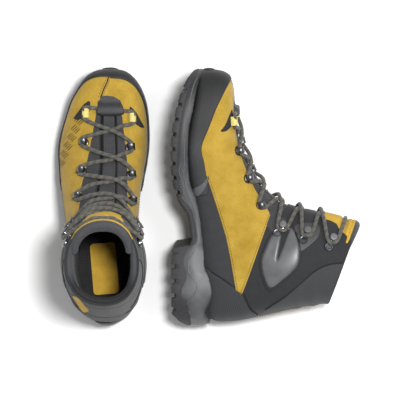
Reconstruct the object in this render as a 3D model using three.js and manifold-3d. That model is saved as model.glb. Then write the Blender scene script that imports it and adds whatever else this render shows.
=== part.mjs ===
// A pair of mountaineering boots, EU 42, in millimetres with +Z up.
// The left boot stands on its sole and the right boot lies on its outer side, soles towards the left boot.
// One boot is built in its own frame: +X to the inner (medial) side, +Y forward from the back of the
// heel, +Z up from the ground. The right boot is the left one mirrored.
import * as THREE from "three";
import { mergeVertices } from "three/addons/utils/BufferGeometryUtils.js";
import Module from "manifold-3d";

const wasm = await Module();
wasm.setup();

// ---------------------------------------------------------------- driving dimensions
const GAP = 0.3; // between two pieces that touch
const SEAM = 0.4; // between two panels in one layer
const UPPER = 2.0; // thickness of the leather and textile panels
const LINING = 2.3; // thickness of the inner bootie
const RAND = 2.0; // thickness of the rubber band round the toe
const PLATE = 2.6; // thickness of the plates beside the ankle
const BOARD = 2.0; // thickness of the lasting board
const FOOTBED_TOP = 9.4; // top of the removable footbed above the underside of the upper
const COLLAR_DEPTH = 27; // how far the padded collar reaches down inside the cuff
const COLLAR_THICK = 9.0;
const TONGUE_PAD = 7.0; // thickness of the padded tongue inside the cuff
const TONGUE_THIN = 2.3; // thickness of the tongue over the forefoot
const TONGUE_ABOVE = 0.2; // how far the tongue rises above the rim, in steps of RIM_RISE
const TONGUE_FROM = 10; // section where the padded tongue starts
const TONGUE_BASE_TO = 12; // section where the thin tongue ends
const TONGUE_BASE_SIDE = 6; // how far the thin tongue reaches under the edges of the lacing
const TONGUE_SIDE = 10; // how far the padded tongue reaches under them
const LACE = 4.4; // diameter of the lace
const RING_POINTS = 16; // points round one section of the boot

// The ankle bends about an axis that runs across the boot at y = 78 and z = 112.
// The foot ends at a slanted plane: FLEX_NORMAL . (y, z) = FLEX_EDGE.
const FLEX_NORMAL = { y: -0.3, z: 0.954 };
const FLEX_EDGE = 66.4;
const FLEX_APEX_Y = 83; // below the ankle axis, where the cuff comes closest to the foot
const FLEX_FRONT = { y: 150, rise: 17 };
const FLEX_REAR = { y: 5, rise: 11.5 };

// Where each boot sits in the frame of the pair.
const LEFT_AT = { x: -119.8, y: -150.6 };
const RIGHT_AT = { x: -40.5, y: -149.4 };
const RIGHT_LIFT = 34.1;
// The lying boot rests on the side of its forefoot, the corner of its heel and the side of its cuff.
const RIGHT_ROLL = -3.25 * Math.PI / 180; // about the length of the boot
const RIGHT_PITCH = 6.36 * Math.PI / 180; // heel down

// ---------------------------------------------------------------- the shape of the boot
// Sections from the toe to the rim of the collar. Each one lies in a plane that runs across the boot
// through two points in the side view: one on the instep (or shin) and one on the sole (or heel).
// ridge is the sideways place of the instep line, medial and lateral are the half widths,
// wide is the height of the widest place as a share of the section, and crown and keel say how
// square the section is above and below it (2 is an ellipse).
const SECTIONS = [
  { instep: [298.5, 48], sole: [298.5, 36], ridge: 6, medial: 14, lateral: -3, wide: 0.45, crown: 2.4, keel: 2.2 },
  { instep: [296, 59], sole: [296, 32], ridge: 6, medial: 23, lateral: -12, wide: 0.42, crown: 2.8, keel: 2.8 },
  { instep: [290, 66.5], sole: [290, 30], ridge: 6, medial: 31, lateral: -21, wide: 0.4, crown: 3.1, keel: 3.4 },
  { instep: [279, 69.5], sole: [279, 28.5], ridge: 6, medial: 38.5, lateral: -29, wide: 0.36, crown: 3.2, keel: 4 },
  { instep: [263, 71], sole: [263, 26], ridge: 6, medial: 44.5, lateral: -38, wide: 0.32, crown: 3.1, keel: 4.4 },
  { instep: [243, 72.5], sole: [243, 22], ridge: 6.5, medial: 48, lateral: -45, wide: 0.3, crown: 2.8, keel: 4.6 },
  { instep: [223, 76], sole: [223, 19.5], ridge: 7, medial: 48.7, lateral: -50.5, wide: 0.28, crown: 2.5, keel: 4.6 },
  { instep: [203, 82.5], sole: [203, 19], ridge: 8, medial: 48, lateral: -53, wide: 0.28, crown: 2.3, keel: 4.6 },
  { instep: [182, 93], sole: [182, 21], ridge: 8, medial: 44.5, lateral: -52, wide: 0.3, crown: 2.2, keel: 4.4 },
  { instep: [164, 105], sole: [152, 26], ridge: 7, medial: 40.5, lateral: -49.5, wide: 0.32, crown: 2.2, keel: 4.2 },
  { instep: [152, 118], sole: [115, 31], ridge: 6, medial: 38.5, lateral: -45.5, wide: 0.36, crown: 2.2, keel: 4 },
  { instep: [144.5, 129], sole: [75, 33], ridge: 5, medial: 38, lateral: -42, wide: 0.42, crown: 2.2, keel: 3.8 },
  { instep: [140.5, 139], sole: [35, 35], ridge: 4, medial: 39.5, lateral: -41.5, wide: 0.46, crown: 2.2, keel: 3.3 },
  { instep: [138, 148], sole: [9, 46], ridge: 3.5, medial: 42, lateral: -42.5, wide: 0.48, crown: 2.2, keel: 2.5 },
  { instep: [136, 158], sole: [6.5, 68], ridge: 3, medial: 44.5, lateral: -44.5, wide: 0.48, crown: 2.2, keel: 2.3 },
  { instep: [133.5, 169], sole: [10, 90], ridge: 3, medial: 46.5, lateral: -46.5, wide: 0.48, crown: 2.2, keel: 2.2 },
  { instep: [131, 181], sole: [15.5, 114], ridge: 2.5, medial: 46.5, lateral: -46.5, wide: 0.48, crown: 2.2, keel: 2.2 },
  { instep: [128, 193], sole: [21, 138], ridge: 2, medial: 45, lateral: -45.5, wide: 0.5, crown: 2.2, keel: 2.2 },
  { instep: [124.5, 204], sole: [25, 160], ridge: 1.5, medial: 43, lateral: -44, wide: 0.5, crown: 2.2, keel: 2.2 },
  { instep: [121, 214], sole: [28, 181], ridge: 1.5, medial: 41.5, lateral: -43, wide: 0.5, crown: 2.2, keel: 2.2 },
];
const LAST = SECTIONS.length - 1;

// The outline of the sole seen from above, heel first, as [x, y] up the medial side and down the lateral.
const SOLE_OUTLINE = [
  [2, 0], [21.5, 8], [32, 20], [38, 33], [39.5, 48], [36.5, 75], [34, 100], [35, 125], [40, 155],
  [47.5, 185], [51, 210], [51, 235], [47.7, 261], [39.5, 282], [26.5, 296], [6, 301.5],
  [-15, 296], [-30, 281], [-41, 261], [-48.5, 240], [-54.5, 219], [-56, 200], [-53, 170],
  [-46, 145], [-39.5, 120], [-37.5, 100], [-39, 75], [-40.5, 48], [-36, 31], [-28, 20], [-17, 8],
];

// Side-view outlines as [y, z].
const OUTSOLE_TOP = [[299, 30], [281, 20], [245, 12], [205, 8], [176, 9], [150, 14.5], [134, 23.5],
  [105, 27.5], [96, 20], [80, 14], [62, 18], [44, 12], [26, 19], [0, 20.5]];
const MIDSOLE_TOP = [[302, 37], [286, 31], [256, 25.6], [234, 21.5], [201, 20.5], [172, 22], [152, 29],
  [123, 34.5], [90, 38], [74, 38.5], [63, 43], [47, 47], [34, 45.6], [18, 39], [7, 42], [-4, 42]];
const LUG = { pitch: 17, gap: 5.5, depth: 5, slope: 1.5 }; // transverse lugs of the outsole
const FOREFOOT_LUGS = { from: 158, to: 292 };
const HEEL_LUGS = { from: 20, to: 90 };

const RAND_EDGE = [[304, 75], [291, 68.5], [276, 61], [259, 53], [237, 44.5], [214, 36], [196, 39], [176, 42],
  [164, 42]];
const RAND_END = [160, 0];
const QUARTER_EDGE = [[176, 42], [160, 47.5], [141, 53.5], [121, 59.5], [105, 64], [76, 69.7], [47, 74.7]];
const QUARTER_TIP = [42, 83];
const TOE_SEAM = [[8, 310], [5.7, 296], [-4.5, 268], [6, 240], [6, -40]]; // seen from above, as [x, y]
const ANKLE_PLATE = [[110.5, 116.3], [82.6, 104.7], [51.2, 115.1], [75.6, 145.4], [89.6, 148.9],
  [118.6, 139.6]];

// ---------------------------------------------------------------- fasteners
// Each fastener sits at a place along the sections (at) and round them (turn, degrees from the instep).
const LOOPS = { medial: { at: 5.0, turn: 33 }, lateral: { at: 4.75, turn: -31 } };
const EYELETS = {
  medial: [{ at: 6.75, turn: 30 }, { at: 8.3, turn: 36 }, { at: 10.0, turn: 45 }],
  lateral: [{ at: 6.45, turn: -30 }, { at: 8.1, turn: -33 }, { at: 9.8, turn: -40 }],
};
const HOOKS = {
  medial: [{ at: 12.6, turn: 46 }, { at: 15.1, turn: 47 }, { at: 17.3, turn: 53 }],
  lateral: [{ at: 12.6, turn: -46 }, { at: 15.1, turn: -47 }, { at: 17.3, turn: -53 }],
};
const OPENING = { from: 4.0, half: [12, 14, 17, 20, 23, 25, 26, 27, 28, 29, 30, 31, 32, 33, 34, 35, 36] };
const FASTENER_LIFT = 0.7; // underside of a fastener above the upper
const EYELET = { disc: 4.7, base: 1.1, room: 6.2, wall: 1.1, length: 5.6 };
const LOOP = { disc: 6.0, base: 1.1, room: 7.2, wall: 1.3, length: 8.5 };
const HOOK = {
  ring: 5.0, base: 1.1, post: 2.0, rise: 6.4, cap: 4.3, capThick: 1.6, reach: 10.5, arm: 3, foot: 3.4,
};
const LACE_LIFT = FASTENER_LIFT + EYELET.base + EYELET.room / 2; // middle of the lace at a fastener
const LACE_BESIDE = 4.2; // middle of a strand over the edges of the lacing
const LACE_UNDER = 0.8; // middle of the lower strand where two strands cross
const LACE_OVER = 5.6; // middle of the upper one
const STRAND_RISE = 1.0; // how much higher the upper strand starts
const STRAND_LEVEL = { from: 8, span: 3.3, drop: 1.0 }; // where the strands drop, and how far, in sections
const TOE_BAR = 0.42; // how far the first bar of the lace lies in front of the loops, along the sections
const TOE_BAR_OUT = 2.0; // middle of that bar off the skin
const TOP_BAR = 0.35; // how far the last one lies above the top hooks
const TOP_BAR_OUT = 1.8; // middle of that bar off the skin

// ---------------------------------------------------------------- geometry helpers
function toSolid(geometry) {
  const bare = geometry.index ? geometry.toNonIndexed() : geometry.clone();
  bare.deleteAttribute("normal");
  bare.deleteAttribute("uv");
  const merged = mergeVertices(bare, 1e-4);
  const mesh = new wasm.Mesh({
    numProp: 3,
    vertProperties: new Float32Array(merged.attributes.position.array),
    triVerts: new Uint32Array(merged.index.array),
  });
  return new wasm.Manifold(mesh);
}

function toGeometry(solid) {
  const mesh = solid.getMesh();
  const positions = new Float32Array(mesh.numVert * 3);
  for (let i = 0; i < mesh.numVert; i++) {
    positions.set(mesh.vertProperties.subarray(i * mesh.numProp, i * mesh.numProp + 3), i * 3);
  }
  const geometry = new THREE.BufferGeometry();
  geometry.setAttribute("position", new THREE.BufferAttribute(positions, 3));
  geometry.setIndex(new THREE.BufferAttribute(new Uint32Array(mesh.triVerts), 1));
  geometry.computeVertexNormals();
  return geometry;
}

function polygonShape(points) {
  return new THREE.Shape(points.map(([u, v]) => new THREE.Vector2(u, v)));
}

// A side-view outline of [y, z] points, extruded across the boot from x = from to x = to.
function sidePrism(points, from = -90, to = 90) {
  const geometry = new THREE.ExtrudeGeometry(polygonShape(points), { depth: to - from, bevelEnabled: false });
  const turn = new THREE.Matrix4().makeBasis(
    new THREE.Vector3(0, 1, 0),
    new THREE.Vector3(0, 0, 1),
    new THREE.Vector3(1, 0, 0),
  );
  geometry.applyMatrix4(turn);
  geometry.translate(from, 0, 0);
  return toSolid(geometry);
}

// A plan outline of [x, y] points, extruded from z = from to z = to.
function planPrism(points, from, to) {
  const geometry = new THREE.ExtrudeGeometry(polygonShape(points), { depth: to - from, bevelEnabled: false });
  geometry.translate(0, 0, from);
  return toSolid(geometry);
}

// A closed skin over rings of points, with a fan over each end.
function skinRings(rings) {
  const count = rings[0].length;
  const vertices = rings.flat();
  const middle = (ring) => ring.reduce((sum, p) => sum.clone().add(p), new THREE.Vector3()).divideScalar(count);
  const first = vertices.push(middle(rings[0])) - 1;
  const last = vertices.push(middle(rings[rings.length - 1])) - 1;
  const faces = [];
  for (let r = 0; r < rings.length - 1; r++) {
    for (let k = 0; k < count; k++) {
      const a = r * count + k;
      const b = r * count + (k + 1) % count;
      faces.push(a, b + count, b, a, a + count, b + count);
    }
  }
  const end = (rings.length - 1) * count;
  for (let k = 0; k < count; k++) {
    faces.push(first, k, (k + 1) % count);
    faces.push(last, end + (k + 1) % count, end + k);
  }
  const geometry = new THREE.BufferGeometry().setFromPoints(vertices);
  geometry.setIndex(faces);
  return toSolid(geometry);
}

// ---------------------------------------------------------------- the surface of the upper
function blend(a, b, c, d, f) {
  const slope = (c - a) / 2;
  const next = (d - b) / 2;
  const rise = b - c;
  return ((2 * rise + slope + next) * f - 3 * rise - 2 * slope - next) * f * f + slope * f + b;
}

function sectionRow(index) {
  const s = SECTIONS[THREE.MathUtils.clamp(index, 0, LAST)];
  return [...s.instep, ...s.sole, s.ridge, s.medial, s.lateral, s.wide, s.crown, s.keel];
}

// The section at any place between the rows, by a smooth curve through them.
function sectionAt(at) {
  const i = THREE.MathUtils.clamp(Math.floor(at), 0, LAST - 1);
  const rows = [i - 1, i, i + 1, i + 2].map(sectionRow);
  return rows[0].map((_, k) => blend(rows[0][k], rows[1][k], rows[2][k], rows[3][k], at - i));
}

function skinPoint(at, turn) {
  const [iy, iz, sy, sz, ridge, medial, lateral, wide, crown, keel] = sectionAt(at);
  const c = Math.cos(turn);
  const s = Math.sin(turn);
  const power = c > 0 ? crown : keel;
  const scale = (Math.abs(c) ** power + Math.abs(s) ** power) ** (-1 / power);
  const height = Math.hypot(iy - sy, iz - sz);
  const along = scale * c * height * (c > 0 ? 1 - wide : wide) + height * wide;
  const across = scale * s * (s > 0 ? medial - ridge : ridge - lateral);
  return new THREE.Vector3(ridge + across, sy + (iy - sy) * along / height, sz + (iz - sz) * along / height);
}

// The point, the outward normal and the two surface directions at one place.
function skinFrame(at, turn) {
  const step = 0.05;
  const up = skinPoint(Math.min(at + step, LAST), turn).sub(skinPoint(Math.max(at - step, 0), turn)).normalize();
  const round = skinPoint(at, turn + step).sub(skinPoint(at, turn - step)).normalize();
  const normal = new THREE.Vector3().crossVectors(up, round).normalize();
  return { point: skinPoint(at, turn), normal, up, round };
}

// A point at a distance (out) from the skin of the upper.
function layerPoint(at, turn, out) {
  const inside = THREE.MathUtils.clamp(at, 0, LAST);
  const { point, normal } = skinFrame(inside, turn);
  point.addScaledVector(normal, out);
  if (at > LAST) {
    point.addScaledVector(RIM_RISE, at - LAST);
  }
  return point;
}
const RIM_RISE = new THREE.Vector3(0, -2, 20); // beyond the rim the surface goes on straight up

// Where the rings of points lie along the sections; more of them would only make the facets smaller.
const RING_PLACES = [0, 1, 2.2, 3.6, 5, 6.6, 8, 9.3, 10.6, 11.8, 13, 14.4, 16, 17.5, LAST];
const SECTION_TURNS = Array.from({ length: RING_POINTS }, (_, k) => 2 * Math.PI * k / RING_POINTS);

// The solid inside the skin at a distance from it, cut off at the rim or carried on above it.
function body(out, above = 0) {
  const places = above > 0 ? [...RING_PLACES, LAST + above] : RING_PLACES;
  return skinRings(places.map((at) => SECTION_TURNS.map((turn) => layerPoint(at, turn, out))));
}

function shell(inner, outer) {
  return body(outer).subtract(body(inner, 1));
}

// A patch of the skin between two turns and two distances, as a closed solid.
function patch(places, turnFrom, turnTo, inner, outer, steps = 4) {
  const rings = places.map((at) => {
    const from = turnFrom(at);
    const to = turnTo(at);
    const row = Array.from({ length: steps + 1 }, (_, k) => from + (to - from) * k / steps);
    const top = row.map((turn) => layerPoint(at, turn, outer));
    const bottom = row.map((turn) => layerPoint(at, turn, inner)).reverse();
    return [...top, ...bottom];
  });
  return skinRings(rings);
}

// ---------------------------------------------------------------- zones of the side view
function flexHeight(y, rise) {
  return (FLEX_EDGE + rise - FLEX_NORMAL.y * y) / FLEX_NORMAL.z;
}

function footZone(gap = 0) {
  const [front, back] = [[220, flexHeight(220, -gap)], [-40, flexHeight(-40, -gap)]];
  return sidePrism([[-40, -40], [340, -40], [340, 200], front, back]);
}

const cuffEdge = (gap) => [
  [FLEX_REAR.y - 40, flexHeight(FLEX_REAR.y - 40, FLEX_REAR.rise + gap)],
  [FLEX_REAR.y, flexHeight(FLEX_REAR.y, FLEX_REAR.rise + gap)],
  [FLEX_APEX_Y, flexHeight(FLEX_APEX_Y, 1 + gap)],
  [FLEX_FRONT.y, flexHeight(FLEX_FRONT.y, FLEX_FRONT.rise + gap)],
  [FLEX_FRONT.y + 60, flexHeight(FLEX_FRONT.y + 60, FLEX_FRONT.rise + gap)],
];

function cuffZone(gap = 0) {
  return sidePrism([...cuffEdge(gap), [FLEX_FRONT.y + 60, 320], [-40, 320]]);
}

// The half opening of the lacing, as a turn from the instep line.
function openingTurn(at, extra = 0) {
  const place = THREE.MathUtils.clamp(at - OPENING.from, 0, OPENING.half.length - 1.001);
  const i = Math.floor(place);
  const half = THREE.MathUtils.lerp(OPENING.half[i], OPENING.half[i + 1], place - i) + extra;
  const row = sectionAt(Math.min(at, LAST));
  const width = (row[5] - row[6]) / 2;
  return Math.asin(Math.min(half / width, 0.95));
}

function placesBetween(from, to) {
  return [from, ...RING_PLACES.filter((at) => at > from + 0.1 && at < to - 0.1), to];
}

function openingStrip(from, to, extra, inner, outer) {
  const edge = (at) => openingTurn(at, extra);
  return patch(placesBetween(from, to), (at) => -edge(at), edge, inner, outer);
}

// ---------------------------------------------------------------- sole
function soleOutline(inset, count = 36) {
  const loop = new THREE.CatmullRomCurve3(SOLE_OUTLINE.map(([x, y]) => new THREE.Vector3(x, y, 0)), true);
  return loop.getSpacedPoints(count).slice(0, count).map((p, k) => {
    const tangent = loop.getTangentAt(k / count);
    return [p.x - tangent.y * inset, p.y + tangent.x * inset];
  });
}

const UNDERFOOT = 11; // the panels turn this far in under the foot
const underfoot = planPrism(soleOutline(UNDERFOOT + 3), -10, 44);
const boardZone = planPrism(soleOutline(UNDERFOOT + 3 + SEAM), -10, 44);

function lugNotches({ from, to }) {
  const notches = [];
  for (let y = from; y < to; y += LUG.pitch) {
    notches.push(y);
  }
  return notches.map((y) => {
    const top = groundHeight(y) + LUG.depth;
    return sidePrism([[y, -20], [y + LUG.gap, -20], [y + LUG.gap - LUG.slope, top], [y + LUG.slope, top]]);
  });
}

// Underside of the sole: flat heel, raised arch, and a forefoot that rocks up to the toe.
const GROUND = [[301, 26], [293, 19], [281, 12.6], [262, 7], [245, 3.4], [228, 0.8], [212, 0], [190, 0],
  [172, 1.6], [150, 8.2], [134, 19], [105, 23.4], [99, 21], [96, 2], [92, 0], [18, 0], [6, 10], [2, 19]];
function groundHeight(y) {
  const i = GROUND.findIndex(([gy]) => gy <= y);
  if (i <= 0) return GROUND[0][1];
  const [y1, z1] = GROUND[i - 1];
  const [y0, z0] = GROUND[i];
  return z0 + (z1 - z0) * (y - y0) / (y1 - y0);
}

function makeOutsole() {
  const profile = sidePrism([...OUTSOLE_TOP, ...[...GROUND].reverse()]);
  let sole = profile.intersect(planPrism(soleOutline(0), -5, 60)).subtract(body(RAND + 2 * GAP));
  for (const notch of [...lugNotches(FOREFOOT_LUGS), ...lugNotches(HEEL_LUGS)]) {
    sole = sole.subtract(notch);
  }
  return sole;
}

function raised(points, lift) {
  return points.map(([y, z]) => [y, z + lift]);
}

const randZone = (gap) => sidePrism([
  [320, -30], [320, 75], ...raised(RAND_EDGE, gap),
  [RAND_END[0] - gap, RAND_END[1]], [RAND_END[0] - gap, -30],
]);

function makeMidsole() {
  const profile = sidePrism([...MIDSOLE_TOP, ...raised(OUTSOLE_TOP, GAP).reverse()]);
  return profile
    .intersect(planPrism(soleOutline(0.4), -5, 80))
    .subtract(body(GAP))
    .subtract(body(RAND + 2 * GAP).intersect(randZone(GAP)));
}

// ---------------------------------------------------------------- the upper
const upperShell = shell(-UPPER, 0).subtract(underfoot);
const ABOVE_RIM = 0.8; // a cutting strip runs this far past the rim, in steps of RIM_RISE
const CUT = { below: 6, above: 8 }; // how far a cutting strip runs past the layers it cuts
const openingCut = openingStrip(OPENING.from, LAST + ABOVE_RIM, 0, -UPPER - CUT.below, CUT.above);

function makeRand() {
  return shell(GAP, GAP + RAND).subtract(underfoot).intersect(randZone(0));
}

function makeQuarter() {
  const zone = sidePrism([
    [176, -40], ...QUARTER_EDGE, QUARTER_TIP, [QUARTER_TIP[0], 140], [340, 200], [340, -40],
  ]);
  return upperShell.intersect(zone).intersect(footZone()).subtract(openingCut);
}

// The two halves meet in a seam over the toe and are open along the lacing. side is 1 for the medial half.
function quarterHalf(side) {
  const line = TOE_SEAM.map(([x, y]) => [x + side * SEAM / 2, y]);
  const [front, back] = [line[0], line[line.length - 1]];
  const half = [...line, [side * 120, back[1]], [side * 120, front[1]]];
  return makeQuarter().intersect(planPrism(half, -10, 260));
}

// The textile panel under the quarter and round the heel.
function makeRearPanel() {
  const zone = sidePrism([
    [176 - SEAM, -40], ...raised(QUARTER_EDGE, -SEAM).map(([y, z]) => [y - SEAM / 3, z]),
    [QUARTER_TIP[0] - SEAM, QUARTER_TIP[1]], [QUARTER_TIP[0] - SEAM, 140], [-40, 140], [-40, -40],
  ]);
  return upperShell.intersect(zone).intersect(footZone());
}

function makeCuff() {
  return shell(-UPPER, 0).intersect(cuffZone()).subtract(openingCut);
}

function makeAnklePlate(side) {
  const zone = side === "medial" ? sidePrism(ANKLE_PLATE, 5, 90) : sidePrism(ANKLE_PLATE, -90, -5);
  const room = disc(HOOK.ring + SEAM, -CUT.below, CUT.above, HOOK.reach);
  const notch = toGeometry(room).applyMatrix4(fastenerFrame(HOOKS[side][0]));
  return shell(GAP, GAP + PLATE).intersect(zone).subtract(toSolid(notch));
}

// ---------------------------------------------------------------- inside the upper
const INNER = UPPER + GAP; // outer face of the bootie, tongue and collar
const collarZone = (gap) => planeAbove(COLLAR_DEPTH - gap);

// Everything above a plane that lies this far below the rim and runs parallel to it.
function planeAbove(depth) {
  const [front, back] = [SECTIONS[LAST].instep, SECTIONS[LAST].sole];
  const slope = (front[1] - back[1]) / (front[0] - back[0]);
  const height = (y) => back[1] - depth + (y - back[0]) * slope;
  return sidePrism([[-40, height(-40)], [220, height(220)], [220, 340], [-40, 340]]);
}

const TONGUE_START = OPENING.from - 0.4; // the thin tongue starts under the front edge of the opening

// A strip of the opening that cuts every layer.
const strip = (from, to, extra) => openingStrip(from, to, extra, -INNER - TONGUE_PAD - CUT.below, CUT.above);

function makeTongueBase() {
  return shell(-INNER - TONGUE_THIN, -INNER)
    .intersect(strip(TONGUE_START, TONGUE_BASE_TO, TONGUE_BASE_SIDE))
    .intersect(footZone());
}

function makeTongue() {
  return body(-INNER, TONGUE_ABOVE)
    .subtract(body(-INNER - TONGUE_PAD, 1))
    .intersect(strip(TONGUE_FROM, LAST + TONGUE_ABOVE, TONGUE_SIDE))
    .intersect(cuffZone());
}

function makeCollar() {
  return body(-INNER)
    .subtract(body(-INNER - COLLAR_THICK, 1))
    .intersect(collarZone(0))
    .subtract(strip(TONGUE_FROM, LAST + ABOVE_RIM, TONGUE_SIDE + SEAM));
}

function makeLining() {
  const wedge = shell(-INNER - LINING, 0)
    .subtract(footZone(-SEAM))
    .subtract(cuffZone(-SEAM))
    .subtract(openingStrip(OPENING.from, LAST, 0, -INNER, CUT.above));
  return shell(-INNER - LINING, -INNER)
    .subtract(collarZone(-SEAM))
    .subtract(strip(TONGUE_START - 0.1, TONGUE_BASE_TO, TONGUE_BASE_SIDE + SEAM).intersect(footZone(-SEAM)))
    .subtract(strip(TONGUE_FROM, LAST + ABOVE_RIM, TONGUE_SIDE + SEAM).intersect(cuffZone(-SEAM)))
    .add(wedge);
}

function makeBoard() {
  return shell(-BOARD, 0).intersect(boardZone);
}

function makeFootbed() {
  const under = SECTIONS.filter((s) => s.sole[0] > 30).map((s) => s.sole);
  const heel = [[20, 35.5], [0, 38]];
  const top = [...raised(under, FOOTBED_TOP), ...raised(heel, FOOTBED_TOP)];
  const zone = sidePrism([...top, [0, 0], [310, 0]]);
  return body(-INNER - LINING - GAP).intersect(zone);
}

// ---------------------------------------------------------------- fasteners
// A frame on the skin: X away from the lacing, Z off the surface.
function fastenerFrame({ at, turn }) {
  const angle = THREE.MathUtils.degToRad(turn);
  const { point, normal, round } = skinFrame(at, angle);
  const away = round.multiplyScalar(Math.sign(turn));
  away.addScaledVector(normal, -away.dot(normal)).normalize();
  const along = new THREE.Vector3().crossVectors(normal, away);
  return new THREE.Matrix4().makeBasis(away, along, normal).setPosition(point);
}

function disc(radius, from, to, x = 0) {
  const geometry = new THREE.CylinderGeometry(radius, radius, to - from, 10);
  geometry.rotateX(Math.PI / 2);
  geometry.translate(x, 0, (from + to) / 2);
  return toSolid(geometry);
}

// A rivet disc with a tunnel over it that the lace runs through.
function makeTunnel(place, { disc: radius, base, room, wall, length }) {
  const half = room / 2 + wall;
  const foot = FASTENER_LIFT + base;
  const arch = new THREE.Shape();
  arch.moveTo(-half, foot - 0.2);
  arch.lineTo(half, foot - 0.2);
  arch.lineTo(half, foot + room * 0.6);
  arch.lineTo(half * 0.6, foot + room + wall);
  arch.lineTo(-half * 0.6, foot + room + wall);
  arch.lineTo(-half, foot + room * 0.6);
  const inside = new THREE.Path();
  const edge = room / 2;
  inside.moveTo(-edge, foot);
  inside.lineTo(-edge, foot + room * 0.62);
  inside.lineTo(-edge * 0.62, foot + room);
  inside.lineTo(edge * 0.62, foot + room);
  inside.lineTo(edge, foot + room * 0.62);
  inside.lineTo(edge, foot);
  arch.holes.push(inside);
  const geometry = new THREE.ExtrudeGeometry(arch, { depth: length, bevelEnabled: false });
  geometry.translate(0, 0, -length / 2);
  geometry.rotateX(Math.PI / 2);
  const tunnel = toSolid(geometry);
  const made = disc(radius, FASTENER_LIFT, foot).add(tunnel);
  return toGeometry(made).applyMatrix4(fastenerFrame(place));
}

// A lacing hook: a rivet ring, an arm, and a post with a round cap that the lace goes behind.
function makeHook(place) {
  const foot = FASTENER_LIFT + HOOK.base;
  const armShape = new THREE.Shape();
  armShape.moveTo(0, -HOOK.arm);
  armShape.lineTo(HOOK.reach, -HOOK.arm);
  armShape.lineTo(HOOK.reach, HOOK.arm);
  armShape.lineTo(0, HOOK.arm);
  const arm = new THREE.ExtrudeGeometry(armShape, { depth: HOOK.base, bevelEnabled: false });
  arm.translate(0, 0, FASTENER_LIFT);
  const made = disc(HOOK.ring, FASTENER_LIFT, foot, HOOK.reach)
    .add(disc(HOOK.foot, FASTENER_LIFT, foot))
    .add(toSolid(arm))
    .add(disc(HOOK.post, foot - 0.2, foot + HOOK.rise + 0.2))
    .add(disc(HOOK.cap, foot + HOOK.rise, foot + HOOK.rise + HOOK.capThick));
  return toGeometry(made).applyMatrix4(fastenerFrame(place));
}

// ---------------------------------------------------------------- lace
// Points of the lace beside a fastener: in from the lower strand, round the far side, out to the upper one.
function laceAround(place, reach, upward) {
  const angle = THREE.MathUtils.degToRad(place.turn);
  const { point, normal, up, round } = skinFrame(place.at, angle);
  const away = round.clone().multiplyScalar(Math.sign(place.turn));
  const points = reach.map(([side, along]) => point.clone()
    .addScaledVector(away, side)
    .addScaledVector(up, along)
    .addScaledVector(normal, LACE_LIFT));
  return upward ? points : points.reverse();
}

const throughTunnel = (length) => [[0, -length / 2 - 3], [0, length / 2 + 3]];
const POST_ROUTE = 6.0; // corners of the lace's route from the middle of a hook's post
const ROUND_POST = [-70, 0, 70].map(THREE.MathUtils.degToRad)
  .map((angle) => [POST_ROUTE * Math.cos(angle), POST_ROUTE * Math.sin(angle)]);

// Three points of a strand between two fasteners: beside the tongue, at its middle, and beside it again.
// Over the shin the sections rise to the front, so a level strand drops along them there.
function crossing(from, to, over) {
  const drop = THREE.MathUtils.clamp(((from.at + to.at) / 2 - STRAND_LEVEL.from) / STRAND_LEVEL.span, 0, 1);
  return [0.25, 0.5, 0.75].map((share) => {
    const sag = drop * STRAND_LEVEL.drop * Math.sin(Math.PI * share);
    const at = THREE.MathUtils.lerp(from.at, to.at, 0.2 + 0.6 * share) - sag;
    const turn = THREE.MathUtils.degToRad(THREE.MathUtils.lerp(from.turn, to.turn, share));
    const middle = over ? LACE_OVER : LACE_UNDER;
    return layerPoint(at, turn, share === 0.5 ? middle : LACE_BESIDE + (over ? STRAND_RISE : 0));
  });
}

function levels(side) {
  return [
    { place: LOOPS[side], reach: throughTunnel(LOOP.length) },
    ...EYELETS[side].map((place) => ({ place, reach: throughTunnel(EYELET.length) })),
    ...HOOKS[side].map((place) => ({ place, reach: ROUND_POST })),
  ];
}

// The lace as one route: down from the middle of the top bar, across the toe bar and up again.
function lacePath() {
  const ladders = { medial: levels("medial"), lateral: levels("lateral") };
  const count = ladders.medial.length;
  const topBar = [0.08, 0.35].map((share) => [HOOKS.medial[2].at + TOP_BAR, HOOKS.medial[2].turn * share])
    .map(([at, turn]) => [at, THREE.MathUtils.degToRad(turn)]);
  const points = topBar.map(([at, turn]) => layerPoint(at, turn, TOP_BAR_OUT));
  let side = "medial";
  const other = { medial: "lateral", lateral: "medial" };
  for (let k = count - 1; k >= 0; k--) {
    const { place, reach } = ladders[side][k];
    points.push(...laceAround(place, reach, false));
    if (k > 0) points.push(...crossing(place, ladders[other[side]][k - 1].place, k % 2 === 0));
    if (k > 0) side = other[side];
  }
  points.push(layerPoint(LOOPS.medial.at - TOE_BAR, 0, TOE_BAR_OUT));
  side = other[side];
  for (let k = 0; k < count; k++) {
    const { place, reach } = ladders[side][k];
    points.push(...laceAround(place, reach, true));
    if (k < count - 1) points.push(...crossing(place, ladders[other[side]][k + 1].place, k % 2 === 0));
    if (k < count - 1) side = other[side];
  }
  points.push(...topBar.map(([at, turn]) => layerPoint(at, -turn, TOP_BAR_OUT)).reverse());
  return points;
}

// A route with one step for each of its points.
class LaceRoute extends THREE.Curve {
  constructor(points) {
    super();
    this.points = points;
  }

  getPoint(t, target = new THREE.Vector3()) {
    const place = THREE.MathUtils.clamp(t, 0, 1) * (this.points.length - 1);
    const i = Math.min(Math.floor(place), this.points.length - 2);
    return target.lerpVectors(this.points[i], this.points[i + 1], place - i);
  }

  getPointAt(u, target) {
    return this.getPoint(u, target);
  }

  getTangentAt(u, target = new THREE.Vector3()) {
    const step = 0.5 / (this.points.length - 1);
    return target.subVectors(this.getPoint(u + step), this.getPoint(u - step)).normalize();
  }
}

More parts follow.
